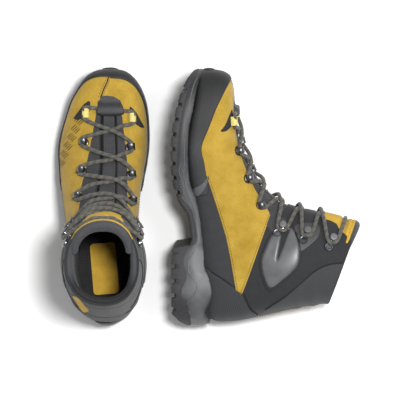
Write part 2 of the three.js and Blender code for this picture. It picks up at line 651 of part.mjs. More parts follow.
function makeLace() {
  const section = new THREE.Shape();
  section.absarc(0, 0, LACE / 2, 0, 2 * Math.PI);
  const points = lacePath();
  return new THREE.ExtrudeGeometry(section, {
    steps: points.length - 1,
    curveSegments: 4,
    extrudePath: new LaceRoute(points),
    bevelEnabled: false,
  });
}

// ---------------------------------------------------------------- materials
const finish = (color, roughness, metalness = 0) => new THREE.MeshStandardMaterial({ color, roughness, metalness });
const FINISH = {
  rubber: finish(0x3a3a3c, 0.75),
  foam: finish(0x757677, 0.6),
  board: finish(0x8a7a5c, 0.9),
  footbed: finish(0x1d1d1f, 0.95),
  leather: finish(0xc9a032, 0.85),
  textile: finish(0x3c3c3d, 0.9),
  padding: finish(0x6e6f70, 0.8),
  plate: finish(0x6c6d6f, 0.55),
  webbing: finish(0x222222, 0.9),
  steel: finish(0xb9bbbe, 0.25, 1),
  lace: finish(0x77716a, 0.9),
};

// ---------------------------------------------------------------- one boot
const boot = {
  outsole: [toGeometry(makeOutsole()), FINISH.rubber],
  midsole: [toGeometry(makeMidsole()), FINISH.foam],
  lasting_board: [toGeometry(makeBoard()), FINISH.board],
  footbed: [toGeometry(makeFootbed()), FINISH.footbed],
  rand: [toGeometry(makeRand()), FINISH.rubber],
  quarter_medial: [toGeometry(quarterHalf(1)), FINISH.leather],
  quarter_lateral: [toGeometry(quarterHalf(-1)), FINISH.leather],
  rear_panel: [toGeometry(makeRearPanel()), FINISH.textile],
  tongue_base: [toGeometry(makeTongueBase()), FINISH.textile],
  tongue: [toGeometry(makeTongue()), FINISH.padding],
  cuff: [toGeometry(makeCuff()), FINISH.textile],
  collar: [toGeometry(makeCollar()), FINISH.padding],
  lining: [toGeometry(makeLining()), FINISH.textile],
  ankle_plate_medial: [toGeometry(makeAnklePlate("medial")), FINISH.plate],
  ankle_plate_lateral: [toGeometry(makeAnklePlate("lateral")), FINISH.plate],
  lace: [makeLace(), FINISH.lace],
};
for (const side of ["medial", "lateral"]) {
  boot[`loop_${side}`] = [makeTunnel(LOOPS[side], LOOP), FINISH.webbing];
  EYELETS[side].forEach((place, i) => {
    boot[`eyelet_${side}_${i + 1}`] = [makeTunnel(place, EYELET), FINISH.steel];
  });
  HOOKS[side].forEach((place, i) => {
    boot[`hook_${side}_${i + 1}`] = [makeHook(place), FINISH.steel];
  });
}

function makeBoot(prefix) {
  const group = new THREE.Group();
  for (const [name, [geometry, material]] of Object.entries(boot)) {
    const mesh = new THREE.Mesh(geometry, material);
    mesh.name = `${prefix}_${name}`;
    group.add(mesh);
  }
  return group;
}

// ---------------------------------------------------------------- the pair
const pair = new THREE.Group();
pair.name = "mountaineering_boots";

const left = makeBoot("left");
left.position.set(LEFT_AT.x, LEFT_AT.y, 0);
pair.add(left);

const right = makeBoot("right");
right.scale.x = -1;
const lying = new THREE.Group();
lying.rotation.y = Math.PI / 2;
lying.add(right);
const resting = new THREE.Group();
resting.rotation.set(RIGHT_PITCH, RIGHT_ROLL, 0);
resting.position.set(RIGHT_AT.x, RIGHT_AT.y, RIGHT_LIFT);
resting.add(lying);
pair.add(resting);

export default pair;
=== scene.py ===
"""The looks of a pair of mountaineering boots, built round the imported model.

Every piece is made once in the frame of one boot, in millimetres: +X to the inner (medial) side, +Y forward
from the back of the heel, +Z up from the ground. carry() then takes it to the standing left boot or to the
right boot, which is its mirror image lying on its outer side.
"""

import math

import bpy
import numpy as np
from mathutils import Matrix, Vector
from mathutils.kdtree import KDTree


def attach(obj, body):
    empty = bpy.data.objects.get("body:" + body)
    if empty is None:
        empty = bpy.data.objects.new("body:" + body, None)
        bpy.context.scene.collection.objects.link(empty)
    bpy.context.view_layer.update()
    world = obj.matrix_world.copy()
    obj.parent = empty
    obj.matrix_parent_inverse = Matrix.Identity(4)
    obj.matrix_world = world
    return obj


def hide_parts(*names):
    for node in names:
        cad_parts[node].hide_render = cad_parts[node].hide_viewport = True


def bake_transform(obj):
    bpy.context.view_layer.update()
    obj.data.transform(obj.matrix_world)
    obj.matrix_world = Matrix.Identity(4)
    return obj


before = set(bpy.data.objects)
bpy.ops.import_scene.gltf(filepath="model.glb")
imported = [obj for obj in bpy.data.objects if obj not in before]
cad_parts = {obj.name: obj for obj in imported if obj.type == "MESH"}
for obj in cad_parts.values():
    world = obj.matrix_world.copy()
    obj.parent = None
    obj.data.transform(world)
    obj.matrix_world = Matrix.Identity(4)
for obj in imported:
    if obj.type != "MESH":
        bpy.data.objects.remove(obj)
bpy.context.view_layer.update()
MM = 0.001

# ---------------------------------------------------------------- camera, light and floor
CAMERA_AT = (-0.0093, -0.0029, 5.06)  # straight above, looking down
LENS = 387.0
FLOOR_SIZE = 14.0
FLOOR_COLOUR = (0.9, 0.9, 0.9, 1)
WORLD_STRENGTH = 0.37
LIGHT_TARGET = (0, 0, 0.05)
# Each light's name, place, size and watts.
LIGHTS = [
    ("key", (0.32, 0.22, 2.65), 0.42, 63),
    ("fill_left", (-1.5, -0.3, 0.9), 1.0, 3),
    ("fill_right", (1.0, 0.25, 1.6), 0.8, 15),
]


def make_camera():
    data = bpy.data.cameras.new("camera")
    data.lens = LENS
    data.sensor_width = 36.0
    data.clip_end = 50.0
    camera = bpy.data.objects.new("camera", data)
    camera.location = CAMERA_AT
    bpy.context.scene.collection.objects.link(camera)
    bpy.context.scene.camera = camera


def area_light(name, place, size, watts):
    data = bpy.data.lights.new(name, "AREA")
    data.shape = "DISK"
    data.size = size
    data.energy = watts
    light = bpy.data.objects.new(name, data)
    light.location = place
    direction = Vector(LIGHT_TARGET) - Vector(place)
    light.rotation_euler = direction.to_track_quat("-Z", "Y").to_euler()
    bpy.context.scene.collection.objects.link(light)


def make_stage():
    half = FLOOR_SIZE / 2
    mesh = bpy.data.meshes.new("floor")
    corners = [(-half, -half, 0), (half, -half, 0), (half, half, 0), (-half, half, 0)]
    mesh.from_pydata(corners, [], [(0, 1, 2, 3)])
    floor = bpy.data.objects.new("floor", mesh)
    bpy.context.scene.collection.objects.link(floor)
    paint = bpy.data.materials.new("floor_paint")
    paint.use_nodes = True
    shader = paint.node_tree.nodes["Principled BSDF"]
    shader.inputs["Base Color"].default_value = FLOOR_COLOUR
    shader.inputs["Roughness"].default_value = 0.9
    shader.inputs["Specular IOR Level"].default_value = 0.1
    mesh.materials.append(paint)
    world = bpy.data.worlds.new("studio")
    world.use_nodes = True
    background = world.node_tree.nodes["Background"]
    background.inputs["Color"].default_value = (1, 1, 1, 1)
    background.inputs["Strength"].default_value = WORLD_STRENGTH
    bpy.context.scene.world = world
    for light in LIGHTS:
        area_light(*light)
    bpy.context.scene.view_settings.view_transform = "Standard"


make_camera()
make_stage()

# ---------------------------------------------------------------- the surface of the upper
# Sections from the toe to the rim: instep (y, z), sole (y, z), ridge x, medial x, lateral x. Then come the
# height of the widest place as a share of the section, and how square it is above and below that, where 2 is
# an ellipse.
SECTIONS = np.array([
    (298.5, 48, 298.5, 36, 6, 14, -3, 0.45, 2.4, 2.2),
    (296, 59, 296, 32, 6, 23, -12, 0.42, 2.8, 2.8),
    (290, 66.5, 290, 30, 6, 31, -21, 0.4, 3.1, 3.4),
    (279, 69.5, 279, 28.5, 6, 38.5, -29, 0.36, 3.2, 4),
    (263, 71, 263, 26, 6, 44.5, -38, 0.32, 3.1, 4.4),
    (243, 72.5, 243, 22, 6.5, 48, -45, 0.3, 2.8, 4.6),
    (223, 76, 223, 19.5, 7, 48.7, -50.5, 0.28, 2.5, 4.6),
    (203, 82.5, 203, 19, 8, 48, -53, 0.28, 2.3, 4.6),
    (182, 93, 182, 21, 8, 44.5, -52, 0.3, 2.2, 4.4),
    (164, 105, 152, 26, 7, 40.5, -49.5, 0.32, 2.2, 4.2),
    (152, 118, 115, 31, 6, 38.5, -45.5, 0.36, 2.2, 4),
    (144.5, 129, 75, 33, 5, 38, -42, 0.42, 2.2, 3.8),
    (140.5, 139, 35, 35, 4, 39.5, -41.5, 0.46, 2.2, 3.3),
    (138, 148, 9, 46, 3.5, 42, -42.5, 0.48, 2.2, 2.5),
    (136, 158, 6.5, 68, 3, 44.5, -44.5, 0.48, 2.2, 2.3),
    (133.5, 169, 10, 90, 3, 46.5, -46.5, 0.48, 2.2, 2.2),
    (131, 181, 15.5, 114, 2.5, 46.5, -46.5, 0.48, 2.2, 2.2),
    (128, 193, 21, 138, 2, 45, -45.5, 0.5, 2.2, 2.2),
    (124.5, 204, 25, 160, 1.5, 43, -44, 0.5, 2.2, 2.2),
    (121, 214, 28, 181, 1.5, 41.5, -43, 0.5, 2.2, 2.2),
])
LAST = len(SECTIONS) - 1
NOSE = 2.0  # how far the rounded tip stands in front of the first section
SECTION_MM = 18.0  # about how far one section lies from the next, for fields in millimetres
TURN_MM = 42.0  # and about how far one radian of turn is
RIM_RISE = np.array([0.0, -2.0, 20.0])  # beyond the rim the surface goes on straight up
STEP = 0.05  # how far apart the points are that give a direction on the surface
WELD = 2e-3  # corners nearer than this, in millimetres, are one corner


def unit(vectors):
    return vectors / np.maximum(np.linalg.norm(vectors, axis=-1, keepdims=True), 1e-12)


def smooth_between(before, start, end, after, share):
    """A value between start and end on a smooth curve through four values in a row."""
    slope, following, rise = (end - before) / 2, (after - start) / 2, start - end
    cubic = (2 * rise + slope + following) * share - 3 * rise - 2 * slope - following
    return cubic * share * share + slope * share + start


def sections_at(at):
    """The section at any place between the rows, by a smooth curve through them."""
    first = np.clip(np.floor(at).astype(int), 0, LAST - 1)
    rows = (SECTIONS[np.clip(first + k, 0, LAST)] for k in (-1, 0, 1, 2))
    return smooth_between(*rows, (at - first)[..., None])


def skin(at, turn):
    """Points of the upper: turn is 0 on the instep and grows to the medial side, and at < 0 is the nose."""
    at, turn = np.broadcast_arrays(np.asarray(at, float), np.asarray(turn, float))
    row = np.moveaxis(sections_at(np.clip(at, 0, LAST)), -1, 0)
    iy, iz, sy, sz, ridge, medial, lateral, wide, crown, keel = row
    c, s = np.cos(turn), np.sin(turn)
    power = np.where(c > 0, crown, keel)
    scale = (np.abs(c) ** power + np.abs(s) ** power) ** (-1 / power)
    height = np.hypot(iy - sy, iz - sz)
    along = scale * c * height * np.where(c > 0, 1 - wide, wide) + height * wide
    across = scale * s * np.where(s > 0, medial - ridge, ridge - lateral)
    bend = np.clip(-at, 0, 1) * math.pi / 2
    along = height * wide + (along - height * wide) * np.cos(bend)
    across = across * np.cos(bend)
    share = along / height
    return np.stack(
        [ridge + across, sy + (iy - sy) * share + NOSE * np.sin(bend), sz + (iz - sz) * share], -1
    )


def skin_frames(at, turn):
    """The points, the outward normals, and the directions up the sections and round them."""
    at, turn = np.broadcast_arrays(np.asarray(at, float), np.asarray(turn, float))
    near = np.clip(at, -0.97, LAST)
    up = unit(skin(np.minimum(near + STEP, LAST), turn) - skin(np.maximum(near - STEP, -1), turn))
    around = unit(skin(near, turn + STEP) - skin(near, turn - STEP))
    point = skin(np.clip(at, -1, LAST), turn) + np.clip(at - LAST, 0, None)[..., None] * RIM_RISE
    return point, unit(np.cross(up, around)), up, around


def layer(at, turn, out):
    """Points at the distance out from the skin, one distance for all or one for each."""
    point, normal, _, _ = skin_frames(at, turn)
    return point + normal * np.asarray(out, float)[..., None]


def points_at(places):
    return skin(places[:, 0], places[:, 1])


# ---------------------------------------------------------------- triangle sheets
def grid_faces(rows, columns):
    """Triangles of a rows x columns grid of points, facing out where rows go up and columns round."""
    corner = (np.arange(rows - 1)[:, None] * columns + np.arange(columns - 1)).ravel()
    lower = np.stack([corner, corner + columns, corner + columns + 1], 1)
    upper = np.stack([corner, corner + columns + 1, corner + 1], 1)
    return np.vstack([lower, upper])


def skin_sheet(start, end, turn=math.pi, rows_each=6, columns=140):
    """Places (at, turn) over the upper between two sections, and their triangles."""
    count = max(int(round((end - start) * rows_each)), 1) + 1
    at = np.linspace(start, end, count)
    turns = np.linspace(-turn, turn, columns + 1)
    places = np.stack(np.meshgrid(at, turns, indexing="ij"), -1).reshape(-1, 2)
    return places, grid_faces(count, columns + 1)


def split(places, faces, value, keep_all=True):
    """Cuts the triangles along the line where value is 0, and keeps all of them or those above it."""
    above = value > 0
    count = above[faces].sum(1)
    kept = [faces[(count == 3) | ((count == 0) & keep_all)]]
    added, cuts, parts = [], {}, []

    def cut(a, b):
        key = (min(a, b), max(a, b))
        if key not in cuts:
            share = value[a] / (value[a] - value[b])
            cuts[key] = len(places) + len(added)
            added.append(places[a] + (places[b] - places[a]) * share)
        return cuts[key]

    for triangle in faces[(count == 1) | (count == 2)]:
        kept_corners = above[triangle]
        lone = int(np.argmax(kept_corners)) if kept_corners.sum() == 1 else int(np.argmin(kept_corners))
        a, b, c = (int(triangle[(lone + k) % 3]) for k in range(3))
        p, q = cut(a, b), cut(a, c)
        if above[a] or keep_all:
            parts.append((a, p, q))
        if not above[a] or keep_all:
            parts += [(p, b, c), (p, c, q)]
    if parts:
        kept.append(np.array(parts))
    if added:
        places = np.vstack([places, added])
    faces = np.vstack(kept)
    used, faces = np.unique(faces, return_inverse=True)
    return places[used], faces.reshape(-1, 3)


def weld(points, faces):
    """Which corners stay when those at one place are joined, and the triangles that this doesn't flatten."""
    cells = np.round(points / WELD).astype(np.int64)
    _, first, back = np.unique(cells, axis=0, return_index=True, return_inverse=True)
    faces = back.reshape(-1)[faces]
    a, b, c = faces.T
    return first, faces[(a != b) & (b != c) & (c != a)]


def merge(points, faces, extra=None):
    """A mesh with its corners welded, and the values that go with them."""
    first, faces = weld(points, faces)
    if extra is None:
        return points[first], faces
    return points[first], faces, extra[first]


def rim_edges(faces):
    """The edges used by one triangle only, in its direction."""
    edges = np.vstack([faces[:, [0, 1]], faces[:, [1, 2]], faces[:, [2, 0]]])
    low, high = edges.min(1).astype(np.int64), edges.max(1).astype(np.int64)
    _, back, count = np.unique(low * (faces.max() + 1) + high, return_inverse=True, return_counts=True)
    return edges[count[back.reshape(-1)] == 1]


def close(top, bottom, faces, places):
    """A closed body between two copies of a sheet, with walls along its border."""
    first, faces = weld(top, faces)
    top, bottom, places = top[first], bottom[first], places[first]
    count = len(top)
    rim = rim_edges(faces)
    walls = np.vstack([
        np.stack([rim[:, 1], rim[:, 0], rim[:, 0] + count], 1),
        np.stack([rim[:, 1], rim[:, 0] + count, rim[:, 1] + count], 1),
    ])
    points = np.vstack([top, bottom])
    return merge(points, np.vstack([faces, faces[:, ::-1] + count, walls]), np.vstack([places, places]))


def rounded(field, edge):
    """From 0 on the border of a piece to 1 inside it, as a quarter circle."""
    share = np.clip(field / edge, 0, 1)
    return np.sqrt(np.clip(1 - (1 - share) ** 2, 0, 1))


def panel(sheet, field, low, high, edge=1.0, relief=None, fold=0.0):
    """A panel of the upper where field > 0, from the distance low to high off the skin, with round edges.

    low and high are numbers or functions of the places. fold is the share of the thickness where the border
    lies: 0 for a panel that lies on what is under it."""
    places, faces = sheet
    places, faces = split(places, faces, field(places), keep_all=False)
    for level in (0.12 * edge, 0.45 * edge, edge):
        places, faces = split(places, faces, field(places) - level)
    rise = rounded(field(places), edge)
    low, high = (value(places) if callable(value) else value for value in (low, high))
    middle = low + (high - low) * fold
    top_out = middle + (high - middle) * rise
    if relief is not None:
        top_out = top_out + relief(places) * rise
    at, turn = places.T
    top = layer(at, turn, top_out)
    bottom = layer(at, turn, middle + (low - middle) * rise)
    return close(top, bottom, faces, places)


# ---------------------------------------------------------------- outlines and fields
def smooth_line(points, closed=False, each=8):
    """A smooth curve through points, which it passes one after the other."""
    points = np.asarray(points, float)
    count = len(points)
    index = np.arange(count if closed else count - 1)
    steps = [index + k for k in (-1, 0, 1, 2)]
    picks = [k % count if closed else np.clip(k, 0, count - 1) for k in steps]
    before, start, end, after = (points[pick][:, None] for pick in picks)
    share = (np.arange(each) / each)[None, :, None]
    line = smooth_between(before, start, end, after, share).reshape(-1, points.shape[1])
    return line if closed else np.vstack([line, points[-1:]])


def evenly(line, spacing, closed=False):
    """Points along a line at an even spacing."""
    if closed:
        line = np.vstack([line, line[:1]])
    lengths = np.concatenate([[0], np.cumsum(np.linalg.norm(np.diff(line, axis=0), axis=1))])
    count = max(int(round(lengths[-1] / spacing)), 2)
    marks = np.linspace(0, lengths[-1], count + 1)
    if closed:
        marks = marks[:-1]
    return np.stack([np.interp(marks, lengths, column) for column in line.T], 1)


def inside(points, outline):
    """How far inside a closed outline each point lies, below 0 outside it."""
    outline = np.asarray(outline, float)
    found = []
    for some in np.array_split(points, max(len(points) * len(outline) // 400000, 1)):
        a, b = outline, np.roll(outline, -1, 0)
        d = b - a
        rel = some[:, None] - a[None]
        share = np.clip((rel * d).sum(-1) / np.maximum((d * d).sum(-1), 1e-9), 0, 1)
        gap = np.linalg.norm(rel - share[..., None] * d, axis=-1).min(1)
        y = some[:, None, 1]
        crossing = (a[:, 1] > y) != (b[:, 1] > y)
        reach = d[:, 0] * (y - a[:, 1]) / np.where(np.abs(d[:, 1]) < 1e-9, 1e-9, d[:, 1]) + a[:, 0]
        odd = (crossing & (some[:, None, 0] < reach)).sum(1) % 2 == 1
        found.append(np.where(odd, gap, -gap))
    return np.concatenate(found)


def side_view(outline):
    """A field over the upper from a closed outline of (y, z) points."""
    return lambda places: inside(skin(np.maximum(places[:, 0], -1), places[:, 1])[:, 1:], outline)


def top_view(outline):
    """A field over the upper from a closed outline of (x, y) points."""
    return lambda places: inside(points_at(places)[:, :2], outline)


def both(*fields):
    """A field that is above 0 where all of these are."""
    return lambda places: np.min([f(places) for f in fields], axis=0)


def without(field, gap=0.0):
    return lambda places: -field(places) - gap


def only_side(sign):
    """A field that is above 0 on one side of the boot: 1 for medial, -1 for lateral."""
    return lambda places: np.sin(places[:, 1]) * sign * 40


# The sole seen from above, as (x, y), and lines of the side view, as (y, z).
SOLE_OUTLINE = [
    (2, 0), (21.5, 8), (32, 20), (38, 33), (39.5, 48), (36.5, 75), (34, 100), (35, 125), (40, 155),
    (47.5, 185), (51, 210), (51, 235), (47.7, 261), (39.5, 282), (26.5, 296), (6, 301.5),
    (-15, 296), (-30, 281), (-41, 261), (-48.5, 240), (-54.5, 219), (-56, 200), (-53, 170),
    (-46, 145), (-39.5, 120), (-37.5, 100), (-39, 75), (-40.5, 48), (-36, 31), (-28, 20), (-17, 8),
]
OUTSOLE_TOP = [
    (302, 31), (299, 30), (281, 20), (245, 12), (205, 8), (176, 9), (150, 14.5), (134, 23.5), (105, 27.5),
    (96, 20), (80, 14), (62, 18), (44, 12), (26, 19), (0, 20.5),
]
MIDSOLE_TOP = [
    (302, 37), (286, 31), (256, 25.6), (234, 21.5), (201, 20.5), (172, 22), (152, 29), (123, 34.5),
    (90, 38), (74, 38.5), (63, 43), (47, 47), (34, 45.6), (18, 39), (7, 42), (-4, 42),
]
GROUND = [
    (302, 27), (293, 19), (281, 12.6), (262, 7), (245, 3.4), (228, 0.8), (212, 0), (190, 0), (172, 1.6),
    (150, 8.2), (134, 19), (105, 23.4), (99, 21), (96, 2), (92, 0), (18, 0), (6, 10), (0, 19),
]
RAND_EDGE = [
    (306, 76), (292, 69), (276, 61), (259, 53), (237, 44.5), (214, 36), (196, 39), (176, 42), (166, 43.5),
    (158, 42),
]
QUARTER_EDGE = [(178, 41.5), (160, 47.5), (141, 53.5), (121, 59.5), (105, 64), (76, 69.7), (47, 74.7)]
QUARTER_TIP = (42, 82.5)
QUARTER_TOP = [(42, 82.5), (72, 93.6), (104, 104.6), (135, 115.6), (156, 124), (176, 132)]
HEEL_SEAM = [(75, 34), (68, 46), (61, 58), (52, 71)]
CUFF_SEAM = [(42, 83.5), (34, 87), (24, 92), (18, 97.5), (8, 100), (-10, 100)]
BACK_SEAM = [
    (16, 98), (24, 109), (37, 128), (48, 141), (58, 152), (68, 163), (75, 174), (79, 186), (80, 198),
    (80, 214),
]
ANKLE_PLATE = [
    (110.5, 116.3), (96, 109), (82.6, 104.7), (66, 107), (51.2, 115.1), (61, 130), (75.6, 145.4),
    (89.6, 148.9), (104, 147), (118.6, 139.6), (118, 128),
]
# Where the lacing starts, and its half width at each section from there on.
OPENING = {"from": 4.0, "half": [12, 14, 17, 20, 23, 25, 26, 27, 28, 29, 30, 31, 32, 33, 34, 35, 36]}


def height_line(points):
    """The height of a side-view line at any y."""
    line = np.array(sorted(points))
    return lambda y: np.interp(y, line[:, 0], line[:, 1])


def opening_field(extra=0.0):
    """How far a place lies from the edge of the lacing, in millimetres, above 0 outside it."""

    def field(places):
        at, turn = places.T
        reach = np.interp(at - OPENING["from"], np.arange(len(OPENING["half"])), OPENING["half"]) + extra
        row = sections_at(np.clip(at, 0, LAST))
        width = (row[..., 5] - row[..., 6]) / 2
        beside = (np.abs(turn) - np.arcsin(np.minimum(reach / width, 0.95))) * width
        below = (OPENING["from"] - at) * SECTION_MM
        return np.maximum(beside, below)

    return field


# ---------------------------------------------------------------- bodies swept along lines
def ring_faces(rings, sides, closed=False):
    """Triangles between rings of points that follow each other, facing out."""
    faces = []
    for ring in range(rings if closed else rings - 1):
        for k in range(sides):
            a, b = ring * sides + k, ring * sides + (k + 1) % sides
            c, d = (a + sides) % (rings * sides), (b + sides) % (rings * sides)
            faces += [(a, b, d), (a, d, c)]
    return faces


def sweep(line, radius, sides=10, closed=False, flat=1.0, up=None):
    """A tube along a line. radius is one number or one for each point, and flat squeezes it along up."""
    line = np.asarray(line, float)
    count = len(line)
    radius = np.broadcast_to(np.asarray(radius, float), (count,))
    if closed:
        ahead = unit(np.roll(line, -1, 0) - np.roll(line, 1, 0))
    else:
        ahead = unit(np.gradient(line, axis=0))
    if up is None:
        side = np.zeros_like(line)
        side[0] = unit(np.cross(ahead[0], (0.3, 0.2, 0.93)))
        for k in range(1, count):
            side[k] = unit(side[k - 1] - ahead[k] * np.dot(side[k - 1], ahead[k]))
    else:
        side = unit(np.cross(np.asarray(up, float), ahead))
    other = np.cross(ahead, side)
    angle = np.arange(sides) * 2 * math.pi / sides
    ring = side[:, None] * np.cos(angle)[:, None] + other[:, None] * np.sin(angle)[:, None] * flat
    points = (line[:, None] + ring * radius[:, None, None]).reshape(-1, 3)
    faces = ring_faces(count, sides, closed)
    if not closed:
        first, last = len(points), len(points) + 1
        points = np.vstack([points, line[:1], line[-1:]])
        end = (count - 1) * sides
        for k in range(sides):
            faces += [(first, (k + 1) % sides, k), (last, end + k, end + (k + 1) % sides)]
    return points, np.array(faces)


LATHE_SIDES = 28


def lathe(profile, centre=(0, 0)):
    """A body turned about Z, from (radius, height) points that start and end on the axis."""
    profile = np.array(profile, float)
    angle = np.arange(LATHE_SIDES) * 2 * math.pi / LATHE_SIDES
    rings = np.stack([
        centre[0] + profile[:, :1] * np.cos(angle),
        centre[1] + profile[:, :1] * np.sin(angle),
        np.repeat(profile[:, 1:], LATHE_SIDES, 1),
    ], -1).reshape(-1, 3)
    return merge(rings, np.array(ring_faces(len(profile), LATHE_SIDES)))


def together(*bodies):
    """Several bodies as one mesh."""
    points, faces, count = [], [], 0
    for body_points, body_faces in bodies:
        points.append(body_points)
        faces.append(np.asarray(body_faces) + count)
        count += len(body_points)
    return np.vstack(points), np.vstack(faces)


def find_places(targets, sign=0):
    """The places (at, turn) of side-view points on one side of the upper: 1 for medial, -1 for lateral.

    With a sign of 0 the points are (x, y), seen from above."""
    targets = np.asarray(targets, float)
    seen = slice(1, 3) if sign else slice(0, 2)
    places, _ = skin_sheet(0, LAST, rows_each=3, columns=90)
    facing = np.sin(places[:, 1]) * sign if sign else np.cos(places[:, 1])
    places = places[facing > 0.02]
    known = points_at(places)[:, seen]
    found = places[[int(np.argmin(((known - p) ** 2).sum(1))) for p in targets]].copy()
    for _ in range(12):
        at, turn = found.T
        miss = targets - skin(at, turn)[:, seen]
        by_at = (skin(at + 0.01, turn) - skin(at - 0.01, turn))[:, seen] / 0.02
        by_turn = (skin(at, turn + 0.01) - skin(at, turn - 0.01))[:, seen] / 0.02
        det = by_at[:, 0] * by_turn[:, 1] - by_at[:, 1] * by_turn[:, 0]
        det = np.where(np.abs(det) < 1.0, np.sign(det + 1e-9), det)
        step_at = (miss[:, 0] * by_turn[:, 1] - miss[:, 1] * by_turn[:, 0]) / det
        step_turn = (miss[:, 1] * by_at[:, 0] - miss[:, 0] * by_at[:, 1]) / det
        found[:, 0] = np.clip(at + np.clip(step_at, -0.5, 0.5), 0, LAST)
        found[:, 1] = turn + np.clip(step_turn, -0.1, 0.1)
    return found


SEAM_SPACING = 1.5
STITCH = {"spacing": 3.2, "length": 2.1, "radius": 0.32}


def seam(yz, sign, out, radius):
    """A cord of piping along a side-view line."""
    at, turn = find_places(evenly(smooth_line(yz), SEAM_SPACING), sign).T
    return sweep(layer(at, turn, out), radius, sides=8)


def stitches(points, sign, out):
    """Single stitches of thread along a side-view line, or with a sign of 0 along one seen from above."""
    at, turn = find_places(evenly(smooth_line(points), STITCH["spacing"]), sign).T
    centres, normal, _, _ = skin_frames(at, turn)
    ahead = unit(np.gradient(centres, axis=0))
    along = np.array([-0.5, -0.3, 0, 0.3, 0.5]) * STITCH["length"]
    lift = out + np.array([-0.3, 0.1, 0.2, 0.1, -0.3])
    made = []
    for centre, up, forward in zip(centres, normal, ahead):
        made.append(sweep(centre + forward * along[:, None] + up * lift[:, None], STITCH["radius"], sides=6))
    return together(*made)


# ---------------------------------------------------------------- materials
SHADE = {}


def srgb(*values):
    """A colour from 0-255 values as the shader takes it."""
    scaled = [v / 255 for v in values]
    return tuple(v / 12.92 if v <= 0.04045 else ((v + 0.055) / 1.055) ** 2.4 for v in scaled) + (1.0,)


class Paint:
    """A procedural material whose textures stick to the boot, in millimetres."""

    def __init__(self, name, roughness, metallic=0.0, specular=0.5, sheen=0.0):
        self.material = bpy.data.materials.new(name)
        self.material.use_nodes = True
        self.nodes = self.material.node_tree.nodes
        self.links = self.material.node_tree.links
        self.shader = self.nodes["Principled BSDF"]
        self.shader.inputs["Roughness"].default_value = roughness
        self.shader.inputs["Metallic"].default_value = metallic
        self.shader.inputs["Specular IOR Level"].default_value = specular
        self.shader.inputs["Sheen Weight"].default_value = sheen
        self.shader.inputs["Sheen Roughness"].default_value = 0.5
        self.place = self.attribute("boot_place", "Vector")
        SHADE[name] = self.material

    def attribute(self, name, output="Fac"):
        node = self.nodes.new("ShaderNodeAttribute")
        node.attribute_name = name
        return node.outputs[output]

    def noise(self, scale, detail):
        node = self.nodes.new("ShaderNodeTexNoise")
        node.inputs["Scale"].default_value = scale
        node.inputs["Detail"].default_value = detail
        node.inputs["Roughness"].default_value = 0.6
        self.links.new(self.place, node.inputs["Vector"])
        return node.outputs["Fac"]

    def waves(self, scale, axis, turn, distortion=0.0):
        """Lines across the cloth, which is turned by an angle first."""
        turned = self.nodes.new("ShaderNodeMapping")
        turned.inputs["Rotation"].default_value = (0, 0, turn)
        self.links.new(self.attribute("weave", "Vector"), turned.inputs["Vector"])
        node = self.nodes.new("ShaderNodeTexWave")
        node.bands_direction = axis
        node.inputs["Scale"].default_value = scale
        node.inputs["Distortion"].default_value = distortion
        self.links.new(turned.outputs["Vector"], node.inputs["Vector"])
        return node.outputs["Fac"]

    def math(self, operation, a, b):
        node = self.nodes.new("ShaderNodeMath")
        node.operation = operation
        for socket, value in zip(node.inputs, (a, b)):
            if isinstance(value, (int, float)):
                socket.default_value = value
            else:
                self.links.new(value, socket)
        return node.outputs[0]

    def colours(self, factor, *stops):
        """Colours by a factor, given as (place, colour) pairs."""
        node = self.nodes.new("ShaderNodeValToRGB")
        ramp = node.color_ramp
        while len(ramp.elements) < len(stops):
            ramp.elements.new(0.5)
        for element, (place, colour) in zip(ramp.elements, stops):
            element.position = place
            element.color = colour
        self.links.new(factor, node.inputs["Fac"])
        return node.outputs["Color"]

    def mix(self, factor, first, second):
        node = self.nodes.new("ShaderNodeMix")
        node.data_type = "RGBA"
        for index, value in ((0, factor), (6, first), (7, second)):
            if isinstance(value, (int, float, tuple)):
                node.inputs[index].default_value = value
            else:
                self.links.new(value, node.inputs[index])
        return node.outputs[2]

    def base(self, colour):
        self.links.new(colour, self.shader.inputs["Base Color"])

    def bump(self, height, strength, distance=0.0004):
        node = self.nodes.new("ShaderNodeBump")
        node.inputs["Strength"].default_value = strength
        node.inputs["Distance"].default_value = distance
        self.links.new(height, node.inputs["Height"])
        self.links.new(node.outputs["Normal"], self.shader.inputs["Normal"])


def make_suede():
    paint = Paint("suede", 0.92, specular=0.25, sheen=0.12)
    cloud = paint.noise(0.045, 5)
    grain = paint.noise(1.1, 2)
    tone = paint.math("ADD", paint.math("MULTIPLY", cloud, 0.55), paint.math("MULTIPLY", grain, 0.45))
    stops = [(0.36, srgb(146, 116, 36)), (0.5, srgb(162, 132, 48)), (0.66, srgb(178, 148, 62))]
    # Mixed towards dark brown by the darkening attribute: painted shade in hollows and down inside the shaft,
    # elsewhere a darker colour of the part.
    paint.base(paint.mix(paint.attribute("darkening_and_painted_shade"), paint.colours(tone, *stops), srgb(70, 56, 26)))
    paint.bump(paint.noise(1.6, 3), 0.35, 0.0003)


def make_plain(name, colour, deep, roughness, specular=0.5, scale=0.35, bump=0.15, metallic=0.0):
    """An even material with a faint cloudy variation and a fine grain."""
    paint = Paint(name, roughness, metallic, specular)
    tone = paint.colours(paint.noise(scale, 4), (0.35, srgb(*deep)), (0.65, srgb(*colour)))
    # Mixed towards near black by the darkening attribute: painted shade in hollows and down inside the shaft,
    # elsewhere a darker colour of the part.
    paint.base(paint.mix(paint.attribute("darkening_and_painted_shade"), tone, srgb(14, 14, 15)))
    if bump:
        paint.bump(paint.noise(1.8, 2), bump, 0.0002)


WAVE_SCALE = 2 * math.pi / 20  # what the wave texture takes for lines 1 mm apart


